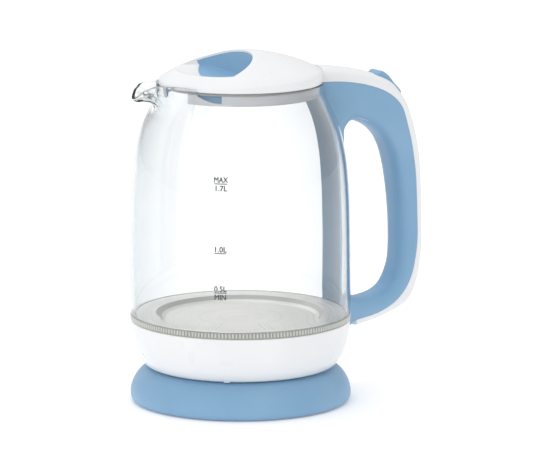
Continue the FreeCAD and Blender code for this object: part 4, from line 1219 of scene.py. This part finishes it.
class KETTLE_OT_floor(bpy.types.Operator):
    """Model the steel floor of the jug"""

    bl_idname = "kettle.steel_floor"
    bl_label = "Steel floor"

    def execute(self, context):
        settle(build_heater(), "jug", "steel", "heater_plate", finish=floor_finish())
        return {"FINISHED"}


class KETTLE_OT_glass(bpy.types.Operator):
    """Model the glass jug with its pouring lip"""

    bl_idname = "kettle.glass"
    bl_label = "Glass jug"

    def execute(self, context):
        settle(build_glass(context.scene.kettle_sizes.glass_wall), "jug", "glass", "glass_jug")
        return {"FINISHED"}


class KETTLE_OT_marks(bpy.types.Operator):
    """Print the level scale on the glass"""

    bl_idname = "kettle.level_marks"
    bl_label = "Level marks"

    def execute(self, context):
        piece = build_marks(context.scene.kettle_sizes.letter_height / MM)
        colour = (*context.scene.kettle_colours.printed, 1.0)
        material = moulded("fired grey print", colour, paint("#4C4C4E"), 0.55, 0.0, 0.1, 0.01)
        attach(piece, "jug")
        dress(piece, material)
        return {"FINISHED"}


class KETTLE_OT_lid(bpy.types.Operator):
    """Model the white lid, its blue recess and its skirt"""

    bl_idname = "kettle.lid"
    bl_label = "Lid"

    def execute(self, context):
        settle(build_dome(), "lid", "white_plastic", "lid_dome")
        settle(build_bowl(), "lid", "blue_plastic", "finger_bowl")
        settle(build_skirt(), "lid", "white_plastic", "lid_skirt")
        return {"FINISHED"}


class KETTLE_OT_handle(bpy.types.Operator):
    """Model the two sides of the handle"""

    bl_idname = "kettle.handle"
    bl_label = "Handle"

    def execute(self, context):
        settle(build_grip(), "jug", "blue_plastic", "handle_grip")
        settle(build_cover(), "jug", "white_plastic", "handle_cover")
        return {"FINISHED"}


class KETTLE_OT_rocker(bpy.types.Operator):
    """Model the power rocker"""

    bl_idname = "kettle.rocker"
    bl_label = "Power rocker"

    def execute(self, context):
        settle(build_rocker(), "rocker", "blue_plastic", "power_rocker")
        return {"FINISHED"}


class KETTLE_OT_small_parts(bpy.types.Operator):
    """Give every remaining CAD part the finish of its material"""

    bl_idname = "kettle.small_parts"
    bl_label = "Small parts"

    def execute(self, context):
        finishes = {}
        for row in frame["record"]["subparts"]:
            slot = row["material_slot"]
            if slot not in finishes:
                finishes[slot] = finish_for(slot, context.scene.kettle_colours)
            dress(frame["nodes"][row["node"]], finishes[slot])
        return {"FINISHED"}


def soft_light(name, place, aim, size, power):
    """One large square studio light."""
    bpy.ops.object.light_add(type="AREA", location=place)
    light = bpy.context.object
    light.name = name
    light.data.size = size
    light.data.energy = power
    light.visible_glossy = False
    light.rotation_euler = (Vector(aim) - Vector(place)).to_track_quat("-Z", "Y").to_euler()


class KETTLE_OT_stage(bpy.types.Operator):
    """Set up the pale floor, the soft studio light and the camera"""

    bl_idname = "kettle.stage"
    bl_label = "Stage"

    def execute(self, context):
        bpy.ops.mesh.primitive_plane_add(size=8.0)
        ground = context.object
        ground.name = "studio_floor"
        material, tree, shader = new_finish("matt white paper")
        cloud = ranged(tree, noise_of(tree, 400.0), 0.0, 1.0)
        tone = blended(tree, cloud, paint("#FDFDFD"), paint("#FBFBFC"))
        tree.links.new(tone, shader.inputs["Base Color"])
        shader.inputs["Roughness"].default_value = 0.9
        shader.inputs["Emission Color"].default_value = (1.0, 1.0, 1.0, 1.0)
        shader.inputs["Emission Strength"].default_value = 0.17
        dress(ground, material)
        world = bpy.data.worlds.new("white studio")
        world.use_nodes = True
        world.node_tree.nodes["Background"].inputs["Color"].default_value = (1.0, 1.0, 1.0, 1.0)
        world.node_tree.nodes["Background"].inputs["Strength"].default_value = 0.73
        context.scene.world = world
        aim = (0.0, 0.0, 0.12)
        soft_light("key_light", (-1.4, -1.0, 1.3), aim, 1.0, 6.0)
        soft_light("back_light", (0.3, 1.6, 1.3), aim, 1.2, 6.0)
        soft_light("top_light", (0.0, 0.2, 2.0), aim, 1.5, 9.0)
        context.scene.view_settings.view_transform = "Standard"
        azimuth, elevation, distance = math.radians(-30.0), math.radians(10.3), 3.0
        target = Vector((0.02027, -0.0117, 0.1201))
        back = Vector((math.sin(azimuth) * math.cos(elevation), -math.cos(azimuth) * math.cos(elevation),
                       math.sin(elevation)))
        bpy.ops.object.camera_add(location=target + back * distance)
        camera = context.object
        camera.rotation_euler = (-back).to_track_quat("-Z", "Y").to_euler()
        camera.data.lens = 290.0
        camera.data.clip_end = 50.0
        context.scene.camera = camera
        return {"FINISHED"}


STEPS = (KETTLE_OT_base, KETTLE_OT_housing, KETTLE_OT_ring, KETTLE_OT_floor, KETTLE_OT_glass, KETTLE_OT_marks,
         KETTLE_OT_lid, KETTLE_OT_handle, KETTLE_OT_rocker, KETTLE_OT_stage)


class KETTLE_PT_panel(bpy.types.Panel):
    """Sizes, colours and pieces of the kettle"""

    bl_label = "Glass kettle"
    bl_space_type = "VIEW_3D"
    bl_region_type = "UI"
    bl_category = "Kettle"

    def draw(self, context):
        column = self.layout.column()
        for group in (context.scene.kettle_sizes, context.scene.kettle_colours):
            for name in group.__annotations__:
                column.prop(group, name)
        for step in (KETTLE_OT_small_parts, *STEPS):
            column.operator(step.bl_idname)


CLASSES = (KettleColours, KettleSizes, KETTLE_OT_small_parts, *STEPS, KETTLE_PT_panel)


def register():
    for item in CLASSES:
        bpy.utils.register_class(item)
    bpy.types.Scene.kettle_colours = bpy.props.PointerProperty(type=KettleColours)
    bpy.types.Scene.kettle_sizes = bpy.props.PointerProperty(type=KettleSizes)


def unregister():
    del bpy.types.Scene.kettle_sizes
    del bpy.types.Scene.kettle_colours
    for item in reversed(CLASSES):
        bpy.utils.unregister_class(item)


def main():
    """Model every piece and set up the stage."""
    register()
    bpy.ops.object.select_all(action="DESELECT")
    bpy.ops.kettle.small_parts()
    bpy.ops.kettle.power_base()
    bpy.ops.kettle.housing()
    bpy.ops.kettle.ribbed_ring()
    bpy.ops.kettle.steel_floor()
    bpy.ops.kettle.glass()
    bpy.ops.kettle.level_marks()
    bpy.ops.kettle.lid()
    bpy.ops.kettle.handle()
    bpy.ops.kettle.rocker()
    bpy.ops.kettle.stage()


if __name__ == "__main__":
    main()
